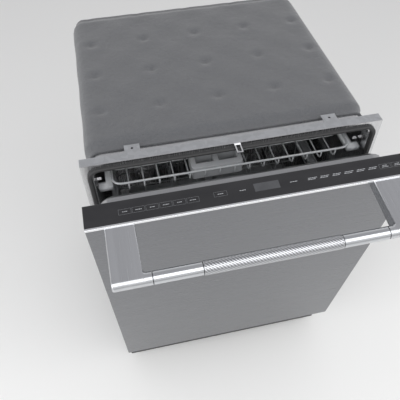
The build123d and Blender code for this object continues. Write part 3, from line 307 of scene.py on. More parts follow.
# %% Plastics, rubber and coatings
def moulded_plastic(name, colour, roughness=0.45, grain=1800.0, depth=0.00004):
    """Matte moulding with a fine even grain and a slight drift of colour."""
    made, tree, shader = new_material(name, colour, 0.0, roughness)
    drift_colour(tree, shader, stretched_noise(tree, 9.0, 2.0), colour, 0.07)
    pores = stretched_noise(tree, grain, 2.0)
    vary_roughness(tree, shader, pores, roughness * 0.85, roughness * 1.15)
    add_bump(tree, shader, pores, depth)
    return made


def piano_black(name):
    """Glossy black moulding under a clear coat, with the faint swirl of wiping."""
    made, tree, shader = new_material(name, (0.010, 0.010, 0.012), 0.0, 0.16)
    set_inputs(shader, {"Coat Weight": 0.6, "Coat Roughness": 0.06})
    swirl = stretched_noise(tree, (18.0, 60.0, 60.0), 2.0)
    vary_roughness(tree, shader, swirl, 0.12, 0.22)
    blend_colour(tree, shader, swirl, (0.008, 0.008, 0.010), (0.014, 0.014, 0.016))
    return made


def wire_coat(name, colour):
    """Nylon-coated rack wire: satin, with the slight orange-peel of a dipped coat."""
    made, tree, shader = new_material(name, colour, 0.0, 0.33)
    shader.inputs["Coat Weight"].default_value = 0.25
    peel = stretched_noise(tree, 260.0, 1.0)
    drift_colour(tree, shader, peel, colour, 0.06)
    add_bump(tree, shader, peel, 0.0001)
    return made


def painted_black(name):
    """Satin powder paint on sheet steel."""
    made, tree, shader = new_material(name, (0.022, 0.022, 0.024), 0.0, 0.40)
    peel = stretched_noise(tree, 420.0, 2.0)
    vary_roughness(tree, shader, peel, 0.34, 0.48)
    add_bump(tree, shader, peel, 0.00006)
    return made


piano_strip = piano_black("piano_strip")
rubber_black = moulded_plastic("rubber_black", (0.028, 0.028, 0.029), 0.62, 700.0, 0.00006)
dark_plastic = moulded_plastic("dark_plastic", (0.045, 0.046, 0.050), 0.42)
grey_plastic = moulded_plastic("grey_plastic", (0.36, 0.37, 0.385), 0.38)
light_plastic = moulded_plastic("light_plastic", (0.72, 0.73, 0.74), 0.40)
rack_coat = wire_coat("rack_coat", (0.40, 0.415, 0.43))
kick_black = painted_black("kick_black")
motor_paint = moulded_plastic("motor_paint", (0.15, 0.16, 0.17), 0.36, 500.0, 0.00008)

# %% [markdown]
# Three surfaces are clear or printed: the smoked display window, the lamps' ribbed lenses and the circuit
# board, whose green lacquer covers copper tracks that show as slightly paler lines.

# %% Window, lens and board
def smoked_glass(name):
    """Dark window: glossy, nearly black, with a little depth."""
    made, tree, shader = new_material(name, (0.055, 0.057, 0.062), 0.0, 0.09)
    shader.inputs["Coat Weight"].default_value = 1.0
    haze = stretched_noise(tree, 60.0, 2.0)
    blend_colour(tree, shader, haze, (0.048, 0.050, 0.055), (0.062, 0.064, 0.070))
    return made


def ribbed_lens(name):
    """Clear lens with moulded ribs that spread the lamp's light."""
    made, tree, shader = new_material(name, (0.93, 0.95, 0.97), 0.0, 0.22)
    set_inputs(shader, {"Transmission Weight": 0.6, "Emission Color": (1.0, 0.97, 0.90, 1),
                        "Emission Strength": 1.2})
    add_bump(tree, shader, stretched_noise(tree, (420.0, 2.0, 2.0), 0.0), 0.0004)
    return made


def circuit_board(name):
    """Green lacquer over copper tracks, which are streaks of stretched noise."""
    made, tree, shader = new_material(name, (0.02, 0.13, 0.06), 0.0, 0.30)
    tracks = stretched_noise(tree, (60.0, 420.0, 60.0), 0.0)
    blend_colour(tree, shader, tracks, (0.012, 0.085, 0.040), (0.040, 0.190, 0.085))
    return made


window_glass = smoked_glass("window_glass")
lamp_lens = ribbed_lens("lamp_lens")
board_green = circuit_board("board_green")

# %% [markdown]
# The blanket round the tub and the pad inside the door are felt: matted fibres in no order, so the finish
# is a layered noise with a soft sheen, and a coarser noise for the lumps under it.

# %% Felt
def felt(name, colour):
    """Matted fibre: mottled colour, fuzzy sheen and a two-scale bump."""
    made, tree, shader = new_material(name, colour, 0.0, 0.92)
    shader.inputs["Sheen Weight"].default_value = 0.35
    fibres = stretched_noise(tree, 900.0, 6.0)
    lumps = stretched_noise(tree, 55.0, 3.0)
    both = tree.nodes.new("ShaderNodeMath")
    both.operation = "MULTIPLY_ADD"
    both.inputs[1].default_value = 0.35
    tree.links.new(fibres, both.inputs[0])
    tree.links.new(lumps, both.inputs[2])
    blend_colour(tree, shader, fibres, scaled(colour, 0.6), scaled(colour, 1.5))
    add_bump(tree, shader, both.outputs[0], 0.0012)
    return made


blanket_felt = felt("blanket_felt", (0.105, 0.108, 0.115))

# %% [markdown]
# Every CAD node gets its finish by name, in one table that reads like a parts list.

# %% Give each node its finish
finish_of = {
    door_steel: ["door_panel"],
    arm_steel: ["handle_arm_left", "handle_arm_right"],
    bar_steel: ["handle_sleeves", "handle_grip"],
    tub_steel: ["tub", "filter_plate", "fixed_rails", "upper_rail_members", "tray_rail_members"],
    liner_shaded_steel: ["door_liner"],
    bright_trim: ["edge_trim", "door_strike"],
    zinc_sheet: ["front_frame", "hinge_brackets", "hinge_arms", "levelling_feet", "junction_box",
                 "handle_screws", "latch_hook", "balance_springs"],
    heater_sheath: ["heating_element"],
    piano_strip: ["control_strip"],
    window_glass: ["display_window"],
    lamp_lens: ["interior_lamps"],
    board_green: ["control_board"],
    rubber_black: ["door_gasket", "bottom_seal"],
    dark_plastic: ["base_pan", "drain_pump", "latch_body", "dispenser_lid", "rinse_cap", "handle_rings"],
    grey_plastic: ["sump", "filter_cup", "internal_pipes", "feed_tube", "lower_spray_arm", "top_spray_arm",
                   "upper_spray_arm", "upper_feed_pipe", "dispenser_body", "door_vent", "cutlery_basket",
                   "front_wheels", "rear_wheels", "tray_handle"],
    light_plastic: ["water_chamber", "overfill_float", "inlet_valve"],
    rack_coat: ["lower_rack", "upper_rack", "cutlery_tray", "fold_tines"],
    kick_black: ["kick_plate"],
    motor_paint: ["circulation_pump"],
    blanket_felt: ["insulation_blanket", "sound_pad"],
}
for finish, names in finish_of.items():
    for name in names:
        nodes[name].data.materials.clear()
        nodes[name].data.materials.append(finish)
missing = set(nodes) - {name for names in finish_of.values() for name in names}
print("nodes without a finish:", sorted(missing))

# %% [markdown]
# New pieces are grids of points computed with numpy. The helpers carry a circle along a path, round a
# path's corners first as a bending machine does, turn a profile on a lathe, and join closed shapes into one
# mesh. Joining also turns each shape's faces outwards, by the sign of its volume, so no helper has to mind
# which way it winds.

# %% Mesh helpers
wire_sides = 8
rod_sides = 12
bend_steps = 7


def spans(node):
    """A node's (low, high) along X, along Y and along Z."""
    return list(zip(*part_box(node)))


def half_way(span):
    """The middle of a (low, high) pair."""
    return (span[0] + span[1]) / 2


def make_piece(name, points, faces, finish, body, smooth=True):
    """A mesh object from an array of points and a list of faces, riding on a body."""
    mesh = bpy.data.meshes.new(name)
    mesh.from_pydata(np.asarray(points, float).tolist(), [], [list(map(int, face)) for face in faces])
    mesh.materials.append(finish)
    mesh.polygons.foreach_set("use_smooth", [smooth] * len(mesh.polygons))
    piece = bpy.data.objects.new(name, mesh)
    bpy.context.scene.collection.objects.link(piece)
    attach(piece, body)
    print(name, "faces", len(faces))
    return piece


def sharpen(piece, degrees=35.0):
    """Smooth shading that breaks where two faces meet at more than the given angle."""
    mesh = piece.data
    mesh.shade_smooth()
    mesh.set_sharp_from_angle(angle=math.radians(degrees))


def skin(rows, columns):
    """Faces of a closed grid: quads between each ring of points and the next, and a cap over each end."""
    ring = np.arange(columns)
    after = np.roll(ring, -1)
    row = np.arange(rows - 1)[:, None] * columns
    quads = np.stack([row + ring, row + after, row + columns + after, row + columns + ring], axis=-1)
    return quads.reshape(-1, 4).tolist() + [ring[::-1].tolist(), (ring + (rows - 1) * columns).tolist()]


def tube(path, side, radius, sides=wire_sides):
    """A round wire of rings radius * (cos t * side + sin t * across). A coil gives a side for each point."""
    path = np.asarray(path, float)
    side = np.broadcast_to(np.asarray(side, float), path.shape)
    along = np.gradient(path, axis=0)
    along /= np.linalg.norm(along, axis=1)[:, None]
    across = np.cross(along, side)
    angle = np.linspace(0, 2 * np.pi, sides, endpoint=False)[None, :, None]
    ring = np.cos(angle) * side[:, None, :] + np.sin(angle) * across[:, None, :]
    return (path[:, None, :] + radius * ring).reshape(-1, 3), skin(len(path), sides)


def rounded(points, radius, steps=5):
    """The path with each corner replaced by a parabola that starts and ends radius away from it."""
    points = np.asarray(points, float)
    share = np.linspace(0, 1, steps)[:, None]
    parts = [points[:1]]
    for before, corner, after in zip(points[:-2], points[1:-1], points[2:]):
        start = corner + (before - corner) / np.linalg.norm(before - corner) * radius
        end = corner + (after - corner) / np.linalg.norm(after - corner) * radius
        parts.append((1 - share) ** 2 * start + 2 * share * (1 - share) * corner + share ** 2 * end)
    parts.append(points[-1:])
    return np.concatenate(parts)


def facing_out(points, faces):
    """The faces with their order turned round where the shape's volume comes out negative."""
    corners = np.array([(face[0], face[i], face[i + 1]) for face in faces for i in range(1, len(face) - 1)])
    a, b, c = (points[corners[:, i]] for i in range(3))
    volume = np.einsum("ij,ij->i", a, np.cross(b, c)).sum() / 6
    return [face[::-1] for face in faces] if volume < 0 else faces


def joined(shapes):
    """Several closed (points, faces) shapes as one, each with its faces turned outwards."""
    points = []
    faces = []
    count = 0
    for shape_points, shape_faces in shapes:
        points.append(shape_points)
        outward = facing_out(shape_points, shape_faces)
        faces.extend([[index + count for index in face] for face in outward])
        count += len(shape_points)
    return np.concatenate(points), faces


def lathe(profile, sides):
    """A closed (radius, height) profile turned round the Z axis, away from the axis itself."""
    radius, height = np.asarray(profile, float).T[:, :, None]
    angle = np.linspace(0, 2 * np.pi, sides, endpoint=False)
    points = np.stack([radius * np.cos(angle), radius * np.sin(angle), height + 0 * angle], axis=-1)
    rings = np.arange(len(profile) * sides).reshape(-1, sides)
    faces = []
    for low, high in zip(rings, np.roll(rings, -1, axis=0)):
        faces += np.stack([low, np.roll(low, -1), np.roll(high, -1), high], axis=-1).tolist()
    return points.reshape(-1, 3), faces


def placed(shape, centre, axes):
    """The shape with its X, Y and Z axes laid along the three given directions and its origin at centre."""
    points, faces = shape
    return points @ np.asarray(axes, float) + centre, faces


def slab(x, y, z):
    """A plain box between three (low, high) pairs, for plates inside a larger piece."""
    points = np.array([(a, b, c) for a in x for b in y for c in z], float)
    return points, [(0, 1, 3, 2), (4, 6, 7, 5), (0, 4, 5, 1), (2, 3, 7, 6), (0, 2, 6, 4), (1, 5, 7, 3)]


# %% [markdown]
# Pieces on the door are drawn as if it were shut and upright, then swung about the hinge line by the angle
# at which the model stands, so their sizes stay easy to read: x, how far out from the face, and how far
# down from the top.

# %% Door coordinates
hinge_y, hinge_z = joints["door_hinge"]["pos_m"][1:]
hinge_setback = 0.030
hinge_drop = 0.703


def on_door(points):
    """Points given as (x, out, down) on the shut door, swung into the model's place."""
    points = np.asarray(points, float)
    back = -points[..., 1] - hinge_setback
    rise = hinge_drop - points[..., 2]
    y = hinge_y + back * math.cos(door_tilt) - rise * math.sin(door_tilt)
    z = hinge_z + back * math.sin(door_tilt) + rise * math.cos(door_tilt)
    return np.stack([points[..., 0], y, z], axis=-1)


# %% [markdown]
# Each handle arm is one forging: a flat bar with a half-round nose that flows into a short round stub. Its
# surface is a stack of slot-shaped outlines. Over the arm's width the slot reaches back to the door, and
# over the last few millimetres it shrinks along a quarter circle to the round stub. The arm's edges are
# broken by a small radius, which catches a thin line of light.

# %% Handle arms
bar_out = 0.0995
bar_down = 0.014
arm_outer = 0.271
arm_inner = 0.219
arm_radius = 0.0115
arm_edge = 0.0032
blend_radius = 0.006
stub_length = 0.014
nose_steps = 24
straight_steps = 10
arc_steps = 7
flat_steps = 6
flat_start = 1.3 * arm_edge
least_reach = 0.00001


def slot_outline(back, half, nose_half):
    """One closed (out, down) outline: a nose round the bar's line, two straights and an end at back."""
    nose = np.linspace(np.pi / 2, -np.pi / 2, nose_steps)
    rear = np.linspace(-np.pi / 2, -3 * np.pi / 2, nose_steps)
    run = np.linspace(0, 1, straight_steps)
    rear_round = half if back > 0 else 0.0
    top = np.stack([back + (bar_out - back) * run, half + (nose_half - half) * run], axis=1)
    front = np.stack([bar_out + nose_half * np.cos(nose), nose_half * np.sin(nose)], axis=1)
    foot = np.stack([top[::-1, 0], -top[::-1, 1]], axis=1)
    end = np.stack([back + rear_round * np.cos(rear), half * np.sin(rear)], axis=1)
    return np.concatenate([top, front, foot, end])


def handle_arm(side):
    """The arm as rows of slot outlines from the stub's end to the outer face."""
    rows = []
    for share in np.linspace(1, 0, arc_steps):
        from_face = share * blend_radius
        reach = blend_radius - math.sqrt(blend_radius ** 2 - (blend_radius - from_face) ** 2)
        outline = slot_outline(bar_out - max(reach, least_reach), arm_radius, arm_radius)
        rows.append((arm_inner - from_face, outline))
    rows.insert(0, (arm_inner - stub_length, rows[0][1]))
    for turn in np.linspace(0, np.pi / 2, arc_steps):
        lost = arm_edge * (1 - math.sin(turn))
        outline = slot_outline(0.0, arm_radius - lost, arm_radius)
        rows.append((arm_inner + arm_edge * (1 - math.cos(turn)), outline))
    for x in np.linspace(arm_inner + flat_start, arm_outer - flat_start, flat_steps):
        rows.append((x, slot_outline(0.0, arm_radius, arm_radius)))
    for turn in np.linspace(np.pi / 2, 0, arc_steps):
        lost = arm_edge * (1 - math.sin(turn))
        outline = slot_outline(0.0, arm_radius - lost, arm_radius - lost)
        rows.append((arm_outer - arm_edge * (1 - math.cos(turn)), outline))
    columns = len(rows[0][1])
    shape = [np.column_stack([np.full(columns, side * x), outline[:, 0], bar_down + outline[:, 1]])
             for x, outline in rows]
    return on_door(np.concatenate(shape)), skin(len(rows), columns)


arm_piece = make_piece("handle_arms", *joined([handle_arm(-1), handle_arm(1)]), arm_steel, "door")
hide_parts("handle_arm_left", "handle_arm_right")
sharpen(arm_piece)

# %% [markdown]
# The grip is knurled: deep V-grooves wind round the bar one way at about 45 degrees and shallow ones cross
# them the other way. From a step away only the deep set shows, as fine slanting lines. The radius is R
# minus a depth for each set, times one minus a triangle wave that is zero where a groove runs.

# %% Knurled grip
grip_radius = 0.0125
grip_half = 0.1205
knurl_starts = 14
knurl_pitch = 0.0056
knurl_depth = 0.0003
cross_depth = 0.0001
collar = 0.0012
collar_drop = 0.0005
grip_rings = 520
grip_sides = 136


def triangle_wave(turns):
    """Distance to the nearest whole number, doubled: 0 in the groove and 1 on the crest."""
    return 2 * np.abs(turns - np.round(turns))


def knurled_bar():
    """The grip as a grid over length and turn: points, faces and how deep in a groove each point lies."""
    along = np.linspace(-grip_half, grip_half, grip_rings)[:, None]
    angle = np.linspace(0, 2 * np.pi, grip_sides, endpoint=False)[None, :]
    turns = angle / (2 * np.pi) * knurl_starts
    deep_set = 1 - triangle_wave(turns - along / knurl_pitch)
    cross_set = 1 - triangle_wave(turns + along / knurl_pitch)
    edge = np.clip((grip_half - np.abs(along)) / collar, 0, 1)
    cut = knurl_depth * deep_set + cross_depth * cross_set
    radius = grip_radius - cut * edge - collar_drop * (1 - edge)
    x = along + 0 * angle
    shape = np.stack([x, bar_out + radius * np.cos(angle), bar_down + radius * np.sin(angle)], axis=-1)
    return on_door(shape.reshape(-1, 3)), skin(grip_rings, grip_sides), deep_set * edge


grip_points, grip_faces, groove_shade_share = knurled_bar()
grip = make_piece("knurled_grip", grip_points, grip_faces, grip_steel, "door", smooth=False)
# The groove attribute marks where the grip's colour is darkened: painted shade and grime in the grooves.
grip.data.attributes.new("groove", "FLOAT", "POINT").data.foreach_set("value", groove_shade_share.ravel())
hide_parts("handle_grip")

# %% [markdown]
# The printed marks on the control strip are a skin of pale ink a few hundredths of a millimetre thick, so
# each mark is a thin slab. The labels are generic: outlined boxes and rows of short bars, which look like
# print and spell nothing.

# %% Printed marks on the strip
ink_height = 0.00006
ink_sunk = 0.0002
line_width = 0.0004
bar_height = 0.0012
bar_gap = 0.0008


def ink(x, out):
    """A thin slab of ink on the strip's top face, between two x and two out values."""
    points, faces = slab(x, out, (ink_sunk, -ink_height))
    return on_door(points), faces


def outline_box(x, out):
    """Four thin lines round a key."""
    return [ink(x, (out[0], out[0] + line_width)), ink(x, (out[1] - line_width, out[1])),
            ink((x[0], x[0] + line_width), out), ink((x[1] - line_width, x[1]), out)]


def bar_row(middle, out, widths):
    """A row of short bars centred on middle."""
    total = sum(widths) + bar_gap * (len(widths) - 1)
    left = middle - total / 2
    row = []
    for width in widths:
        row.append(ink((left, left + width), (out - bar_height / 2, out + bar_height / 2)))
        left += width + bar_gap
    return row


def printed(name, shapes, colour):
    """One piece of ink, in a colour that is slightly uneven like a silk-screen print."""
    made, tree, shader = new_material(name, colour, 0.0, 0.5)
    drift_colour(tree, shader, stretched_noise(tree, 700.0, 2.0), colour, 0.12)
    piece = make_piece(name, *joined(shapes), made, "door", smooth=False)


marks = []
outlines = []
key_count = 6
keys_left, keys_right = -0.243, -0.101
key_out = (-0.031, -0.020)
key_gap = 0.0018
key_pitch = (keys_right - keys_left + key_gap) / key_count
for i in range(key_count):
    left = keys_left + i * key_pitch
    key = (left, left + key_pitch - key_gap)
    outlines += outline_box(key, key_out)
    marks += bar_row(sum(key) / 2, sum(key_out) / 2, [0.0022, 0.0016, 0.0030, 0.0018][: 3 + i % 2])
outlines += outline_box((-0.074, -0.050), (-0.033, -0.023))
marks += bar_row(-0.062, -0.0280, [0.0030, 0.0022, 0.0034])
marks += bar_row(-0.0215, -0.0275, [0.0030, 0.0042, 0.0024])
marks += bar_row(0.0735, -0.0275, [0.0044, 0.0030, 0.0048])
label_count = 6
label_left = 0.1090
label_pitch = 0.0235
for i in range(label_count):
    middle = label_left + i * label_pitch
    marks += bar_row(middle - 0.0015, -0.0258, [0.0044, 0.0032 + 0.0010 * (i % 2), 0.0050])
    marks += bar_row(middle + 0.0010, -0.0288, [0.0060 - 0.0008 * (i % 3), 0.0038, 0.0056])
for start_key in ((0.2395, 0.2620), (0.2640, 0.2865)):
    outlines += outline_box(start_key, (-0.0325, -0.0220))
    marks += bar_row(sum(start_key) / 2, -0.0257, [0.0040, 0.0026, 0.0046])
    marks += bar_row(sum(start_key) / 2, -0.0288, [0.0030, 0.0050])
printed("strip_marks", marks, (0.42, 0.43, 0.45))
printed("strip_outlines", outlines, (0.16, 0.165, 0.175))

# %% [markdown]
# The racks are welded from round wire and dipped in nylon. CAD has them as square-holed panels. Here every
# wire is bent from round stock: U-shaped hoops run across and along the basket, rings hold its walls, a
# thicker wire makes the rim, and pins stand in rows on the floor.

# %% Rack wires
thin_wire = 0.0016
thick_wire = 0.0024
pin_radius = 0.0017
corner_bend = 0.012
ring_bend = 0.018
rim_bend = 0.022
tip_start = 0.35
tip_share = 0.45


def inside(span):
    """The span between the middles of two thin wires that touch its ends from within."""
    return span[0] + thin_wire, span[1] - thin_wire


def hoop(ends, height, fixed, across):
    """A U of wire: down one wall, over the floor and up the other. across says if it lies along X."""
    low, high = ends
    bottom, top = height
    flat = [(low, top), (low, bottom), (high, bottom), (high, top)]
    path = [(a, fixed, b) if across else (fixed, a, b) for a, b in flat]
    side = (0, 1, 0) if across else (1, 0, 0)
    return tube(rounded(path, corner_bend), side, thin_wire)


def rim(x, y, z, radius, bend):
    """A closed rectangle of wire, with its ends meeting in the middle of the back."""
    middle = (half_way(x), y[1], z)
    path = [middle, (x[0], y[1], z), (x[0], y[0], z), (x[1], y[0], z), (x[1], y[1], z), middle]
    return tube(rounded(path, bend, bend_steps), (0, 0, 1), radius)


def pin(x, y, z, lean=0.0):
    """An upright tine whose last ring is drawn in to a rounded tip."""
    low, high = z
    path = [(x, y, low), (x, y + lean * 0.5, (low + high) / 2), (x, y + lean, high - pin_radius),
            (x, y + lean, high - pin_radius * tip_start)]
    points, faces = tube(path, (1, 0, 0), pin_radius)
    tip = np.array([x, y + lean, high])
    points[-wire_sides:] = points[-wire_sides:] * tip_share + (1 - tip_share) * tip
    return points, faces


def wire_basket(x, y, z, cells, wall_rings):
    """Hoops both ways, rings round the walls and a rim on top."""
    x, y = inside(x), inside(y)
    low, high = z[0] + thin_wire, z[1] - thick_wire
    shapes = [hoop(x, (low, high), place, True) for place in np.linspace(*y, cells[1] + 1)[1:-1]]
    lifted = (low + 2 * thin_wire, high)
    shapes += [hoop(y, lifted, place, False) for place in np.linspace(*x, cells[0] + 1)[1:-1]]
    levels = np.linspace(low, high, wall_rings + 1)[1:-1]
    shapes += [rim(x, y, level, thin_wire, ring_bend) for level in levels]
    return shapes + [rim(x, y, high, thick_wire, rim_bend)]


lower_half = 0.256
lower_floor = 0.226
tine_height = 0.084
tine_lean = 0.004
lower_x = (-lower_half, lower_half)
lower_y = spans("lower_rack")[1]
lower_shapes = wire_basket(lower_x, lower_y, (lower_floor, spans("lower_rack")[2][1]), (8, 6), 3)
for y in np.linspace(*inside(lower_y), 7)[1:3]:
    lower_shapes += [pin(x, y, (lower_floor, lower_floor + tine_height), tine_lean)
                     for x in np.linspace(*inside(lower_x), 17)[1:-1]]

# %% [markdown]
# Each wheel turns on a short axle that a welded hanger plate holds under the rack's side wall. The
# fold-down tines turn on one rod, which lies between two pairs of clips.

# %% Wheel hangers and fold-down tines
axle_radius = 0.003
axle_inside = 0.002
axle_outside = 0.0115
hanger_half = 0.009
hanger_wall = 0.0036
hanger_above = 0.008
wheel_z = half_way(spans("front_wheels")[2])
for name in ("front_wheels", "rear_wheels"):
    middle = half_way(spans(name)[1])
    for side in (-1, 1):
        ends = sorted((side * (lower_half - axle_inside), side * (lower_half + axle_outside)))
        axle = [(x, middle, wheel_z) for x in ends]
        lower_shapes.append(tube(axle, (0, 0, 1), axle_radius, rod_sides))
        hanger_x = sorted((side * (lower_half - hanger_wall), side * lower_half))
        hanger_y = (middle - hanger_half, middle + hanger_half)
        lower_shapes.append(slab(hanger_x, hanger_y, (lower_floor, wheel_z + hanger_above)))

rod_radius = 0.0022
clip_inset = 0.006
clip_width = 0.003
clip_near, clip_far = 0.0023, 0.005
clip_lift = 0.001
fold_x, fold_y, fold_z = spans("fold_tines")
rod_y = half_way(fold_y)
rod_z = fold_z[0] + rod_radius
for x in (fold_x[0] + clip_inset, fold_x[1] - clip_inset):
    for clip_y in ((rod_y - clip_far, rod_y - clip_near), (rod_y + clip_near, rod_y + clip_far)):
        clip_z = (lower_floor + clip_lift, rod_z + clip_far)
        lower_shapes.append(slab((x - clip_width, x + clip_width), clip_y, clip_z))
lower_wires = make_piece("lower_rack_wires", *joined(lower_shapes), rack_coat, "lower_rack_body")
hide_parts("lower_rack")

fold_count = 12
fold_inset = 0.022
fold_shapes = [tube([(x, rod_y, rod_z) for x in fold_x], (0, 0, 1), rod_radius, rod_sides)]
for x in np.linspace(fold_x[0] + fold_inset, fold_x[1] - fold_inset, fold_count):
    fold_shapes.append(pin(x, rod_y, (rod_z, fold_z[1])))
fold_wires = make_piece("fold_tine_wires", *joined(fold_shapes), rack_coat, "fold_tines_body")
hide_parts("fold_tines")

# %% [markdown]
# Rack wheels are moulded with a ribbed web. Each one is a lathe turning of its section, and the web between
# hub and tread is then raised where a cosine of six times the angle is high, which gives six rounded
# spokes.

# %% Rack wheels
wheel_bore = 0.00306
wheel_width = 0.009
wheel_sides = 48
spoke_count = 6
wheel_axes = ((0, 1, 0), (0, 0, 1), (1, 0, 0))


def spoked_wheel(width, radius):
    """A closed section from the bore over one face, the tread and the other face, with raised spokes."""
    half = width / 2
    recess = half * 0.5
    hub = [(wheel_bore, half), (radius * 0.34, half)]
    web = [(radius * share, recess) for share in (0.38, 0.50, 0.64, 0.76)]
    tread = [(radius * 0.80, half * 0.9), (radius * 0.94, half * 0.9), (radius * 0.99, half * 0.6),
             (radius, half * 0.3)]
    left = hub + web + tread
    points, faces = lathe([(r, -h) for r, h in left] + left[::-1], wheel_sides)
    angle = np.arctan2(points[:, 1], points[:, 0])
    spoke = np.clip(0.5 + 1.6 * np.cos(spoke_count * angle), 0, 1)
    in_web = (np.abs(points[:, 2]) < recess * 1.05) & (np.hypot(points[:, 0], points[:, 1]) < radius * 0.78)
    points[:, 2] += np.where(in_web, np.sign(points[:, 2]) * spoke * (half * 0.85 - recess), 0)
    return points, faces


for name in ("front_wheels", "rear_wheels"):
    x, y, z = spans(name)
    wheel = spoked_wheel(wheel_width, (z[1] - z[0]) / 2)
    outer = x[1] - wheel_width / 2
    pair = [placed(wheel, (place, half_way(y), half_way(z)), wheel_axes) for place in (-outer, outer)]
    wheels = make_piece(name + "_moulded", *joined(pair), grey_plastic, name + "_body")
    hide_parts(name)
    sharpen(wheels)

# %% [markdown]
# The upper rack and the tray are made like the lower one. Each also carries a flat rail bar on both side
# walls.

# %% Upper rack and tray wires
upper_half = 0.250
rail_lap = 0.001
rail_start = 0.008
rail_end = 0.463
rail_lip = 0.0034
cup_pin_height = 0.060
cup_pin_lean = -0.003


def rail_bars(rack, members):
    """The rack's own rail bars, one on each side wall, as high as the inside of its rail members."""
    x, y, _ = spans(rack)
    bottom, top = spans(members)[2]
    bars = []
    for side in (-1, 1):
        reach = sorted((side * (upper_half - rail_lap), side * x[1]))
        bars.append(slab(reach, (y[0] + rail_start, y[0] + rail_end), (bottom + rail_lip, top - rail_lip)))
    return bars


upper_x = (-upper_half, upper_half)
upper_y, upper_z = spans("upper_rack")[1:]
upper_shapes = wire_basket(upper_x, upper_y, upper_z, (7, 6), 2)
for x in np.linspace(*inside(upper_x), 8)[[1, 2, 5, 6]]:
    upper_shapes += [pin(x, y, (upper_z[0], upper_z[0] + cup_pin_height), cup_pin_lean)
                     for y in np.linspace(*inside(upper_y), 13)[1:-1]]
upper_shapes += rail_bars("upper_rack", "upper_rail_members")
upper_wires = make_piece("upper_rack_wires", *joined(upper_shapes), rack_coat, "upper_rack_body")
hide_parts("upper_rack")

tray_shapes = wire_basket(upper_x, *spans("cutlery_tray")[1:], (16, 7), 1)
tray_shapes += rail_bars("cutlery_tray", "tray_rail_members")
tray_wires = make_piece("tray_wires", *joined(tray_shapes), rack_coat, "tray_body")
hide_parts("cutlery_tray")

# %% [markdown]
# The cutlery basket is a moulded lattice, so that spray reaches the cutlery from all sides. Each wall has
# three bands with upright ribs between them, set back a little from the bands' face. Plates divide it into
# three wells.

# %% Cutlery basket
handle_rise = 0.028
band_height = 0.006
band_wall = 0.0022
rib_width = 0.0026
rib_wall = 0.0014
rib_pitch = 0.0088
rib_setback = 0.0004
rib_inset = 0.001
divider_x = 0.0390
divider_drop = 0.003
handle_radius = 0.003
handle_bend = 0.010
handle_root = 0.012
basket_x, basket_y, (basket_foot, basket_top) = spans("cutlery_basket")
basket_z = (basket_foot, basket_top - handle_rise)


def across_wall(along_x, span, depth, height):
    """A slab whose span runs along X or along Y, with its depth on the other one."""
    return slab(span, depth, height) if along_x else slab(depth, span, height)


def lattice_wall(along_x, span, face, inward):
    """Three bands and a row of ribs, from the wall's outer face and the sign of the way to the inside."""
    band_depth = sorted((face, face + inward * band_wall))
    rib_depth = sorted((face + inward * rib_setback, face + inward * (rib_setback + rib_wall)))
    shapes = [across_wall(along_x, span, band_depth, (low, low + band_height))
              for low in np.linspace(basket_z[0], basket_z[1] - band_height, 3)]
    count = round((span[1] - span[0]) / rib_pitch)
    rib_height = (basket_z[0] + rib_inset, basket_z[1] - rib_inset)
    for middle in np.linspace(*span, count + 1)[1:-1]:
        rib = (middle - rib_width / 2, middle + rib_width / 2)
        shapes.append(across_wall(along_x, rib, rib_depth, rib_height))
    return shapes


post = 2 * band_wall
basket_shapes = []
for face, inward in ((basket_y[0], 1), (basket_y[1], -1)):
    basket_shapes += lattice_wall(True, basket_x, face, inward)
for face, inward in ((basket_x[0], 1), (basket_x[1], -1)):
    basket_shapes += lattice_wall(False, basket_y, face, inward)
    for y in (basket_y[0], basket_y[1] - post):
        basket_shapes.append(slab(sorted((face, face + inward * post)), (y, y + post), basket_z))
for x in np.arange(basket_x[0] + rib_pitch, basket_x[1] - rib_pitch / 2, rib_pitch):
    basket_shapes.append(slab((x, x + rib_width), basket_y, (basket_z[0], basket_z[0] + band_wall)))
for x in (-divider_x, divider_x):
    divider_z = (basket_z[0], basket_z[1] - divider_drop)
    basket_shapes.append(slab((x - band_wall / 2, x + band_wall / 2), basket_y, divider_z))
handle_x = divider_x + handle_radius / 2
root_z, top_z = basket_z[1] - handle_root, basket_top - handle_radius
corners = ((-handle_x, root_z), (-handle_x, top_z), (handle_x, top_z), (handle_x, root_z))
handle_path = [(x, half_way(basket_y), z) for x, z in corners]
basket_shapes.append(tube(rounded(handle_path, handle_bend, 6), (0, 1, 0), handle_radius, rod_sides))
basket_mesh = joined(basket_shapes)
moulded = make_piece("basket_lattice", *basket_mesh, grey_plastic, "cutlery_basket_body", smooth=False)
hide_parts("cutlery_basket")

# %% [markdown]
# The springs that balance the door are close-wound coils. The wire's centre follows a helix, and each ring
# round it starts from the helix's own outward direction, so the wire keeps its round section.

# %% Balance springs
coil_wire = 0.0014
coil_turns = 62
steps_per_turn = 16
coil_sides = 6
tail_radius = 0.002
tail_length = 0.008
coil_length = 0.250
spring_x, spring_y, height = spans("balance_springs")
spring_radius = (height[1] - height[0]) / 2
spring_z = half_way(height)
coil_start = spring_y[0] + tail_length
coil_end = coil_start + coil_length


def coil(centre_x):
    """Helix about a line along Y, without its tails."""
    angle = np.linspace(0, 2 * np.pi * coil_turns, coil_turns * steps_per_turn)
    outward = np.stack([np.cos(angle), 0 * angle, np.sin(angle)], axis=1)
    axis_y = np.linspace(coil_start, coil_end, len(angle))
    axis = np.stack([centre_x + 0 * angle, axis_y, spring_z + 0 * angle], axis=1)
    return tube(axis + (spring_radius - coil_wire) * outward, outward, coil_wire, coil_sides)


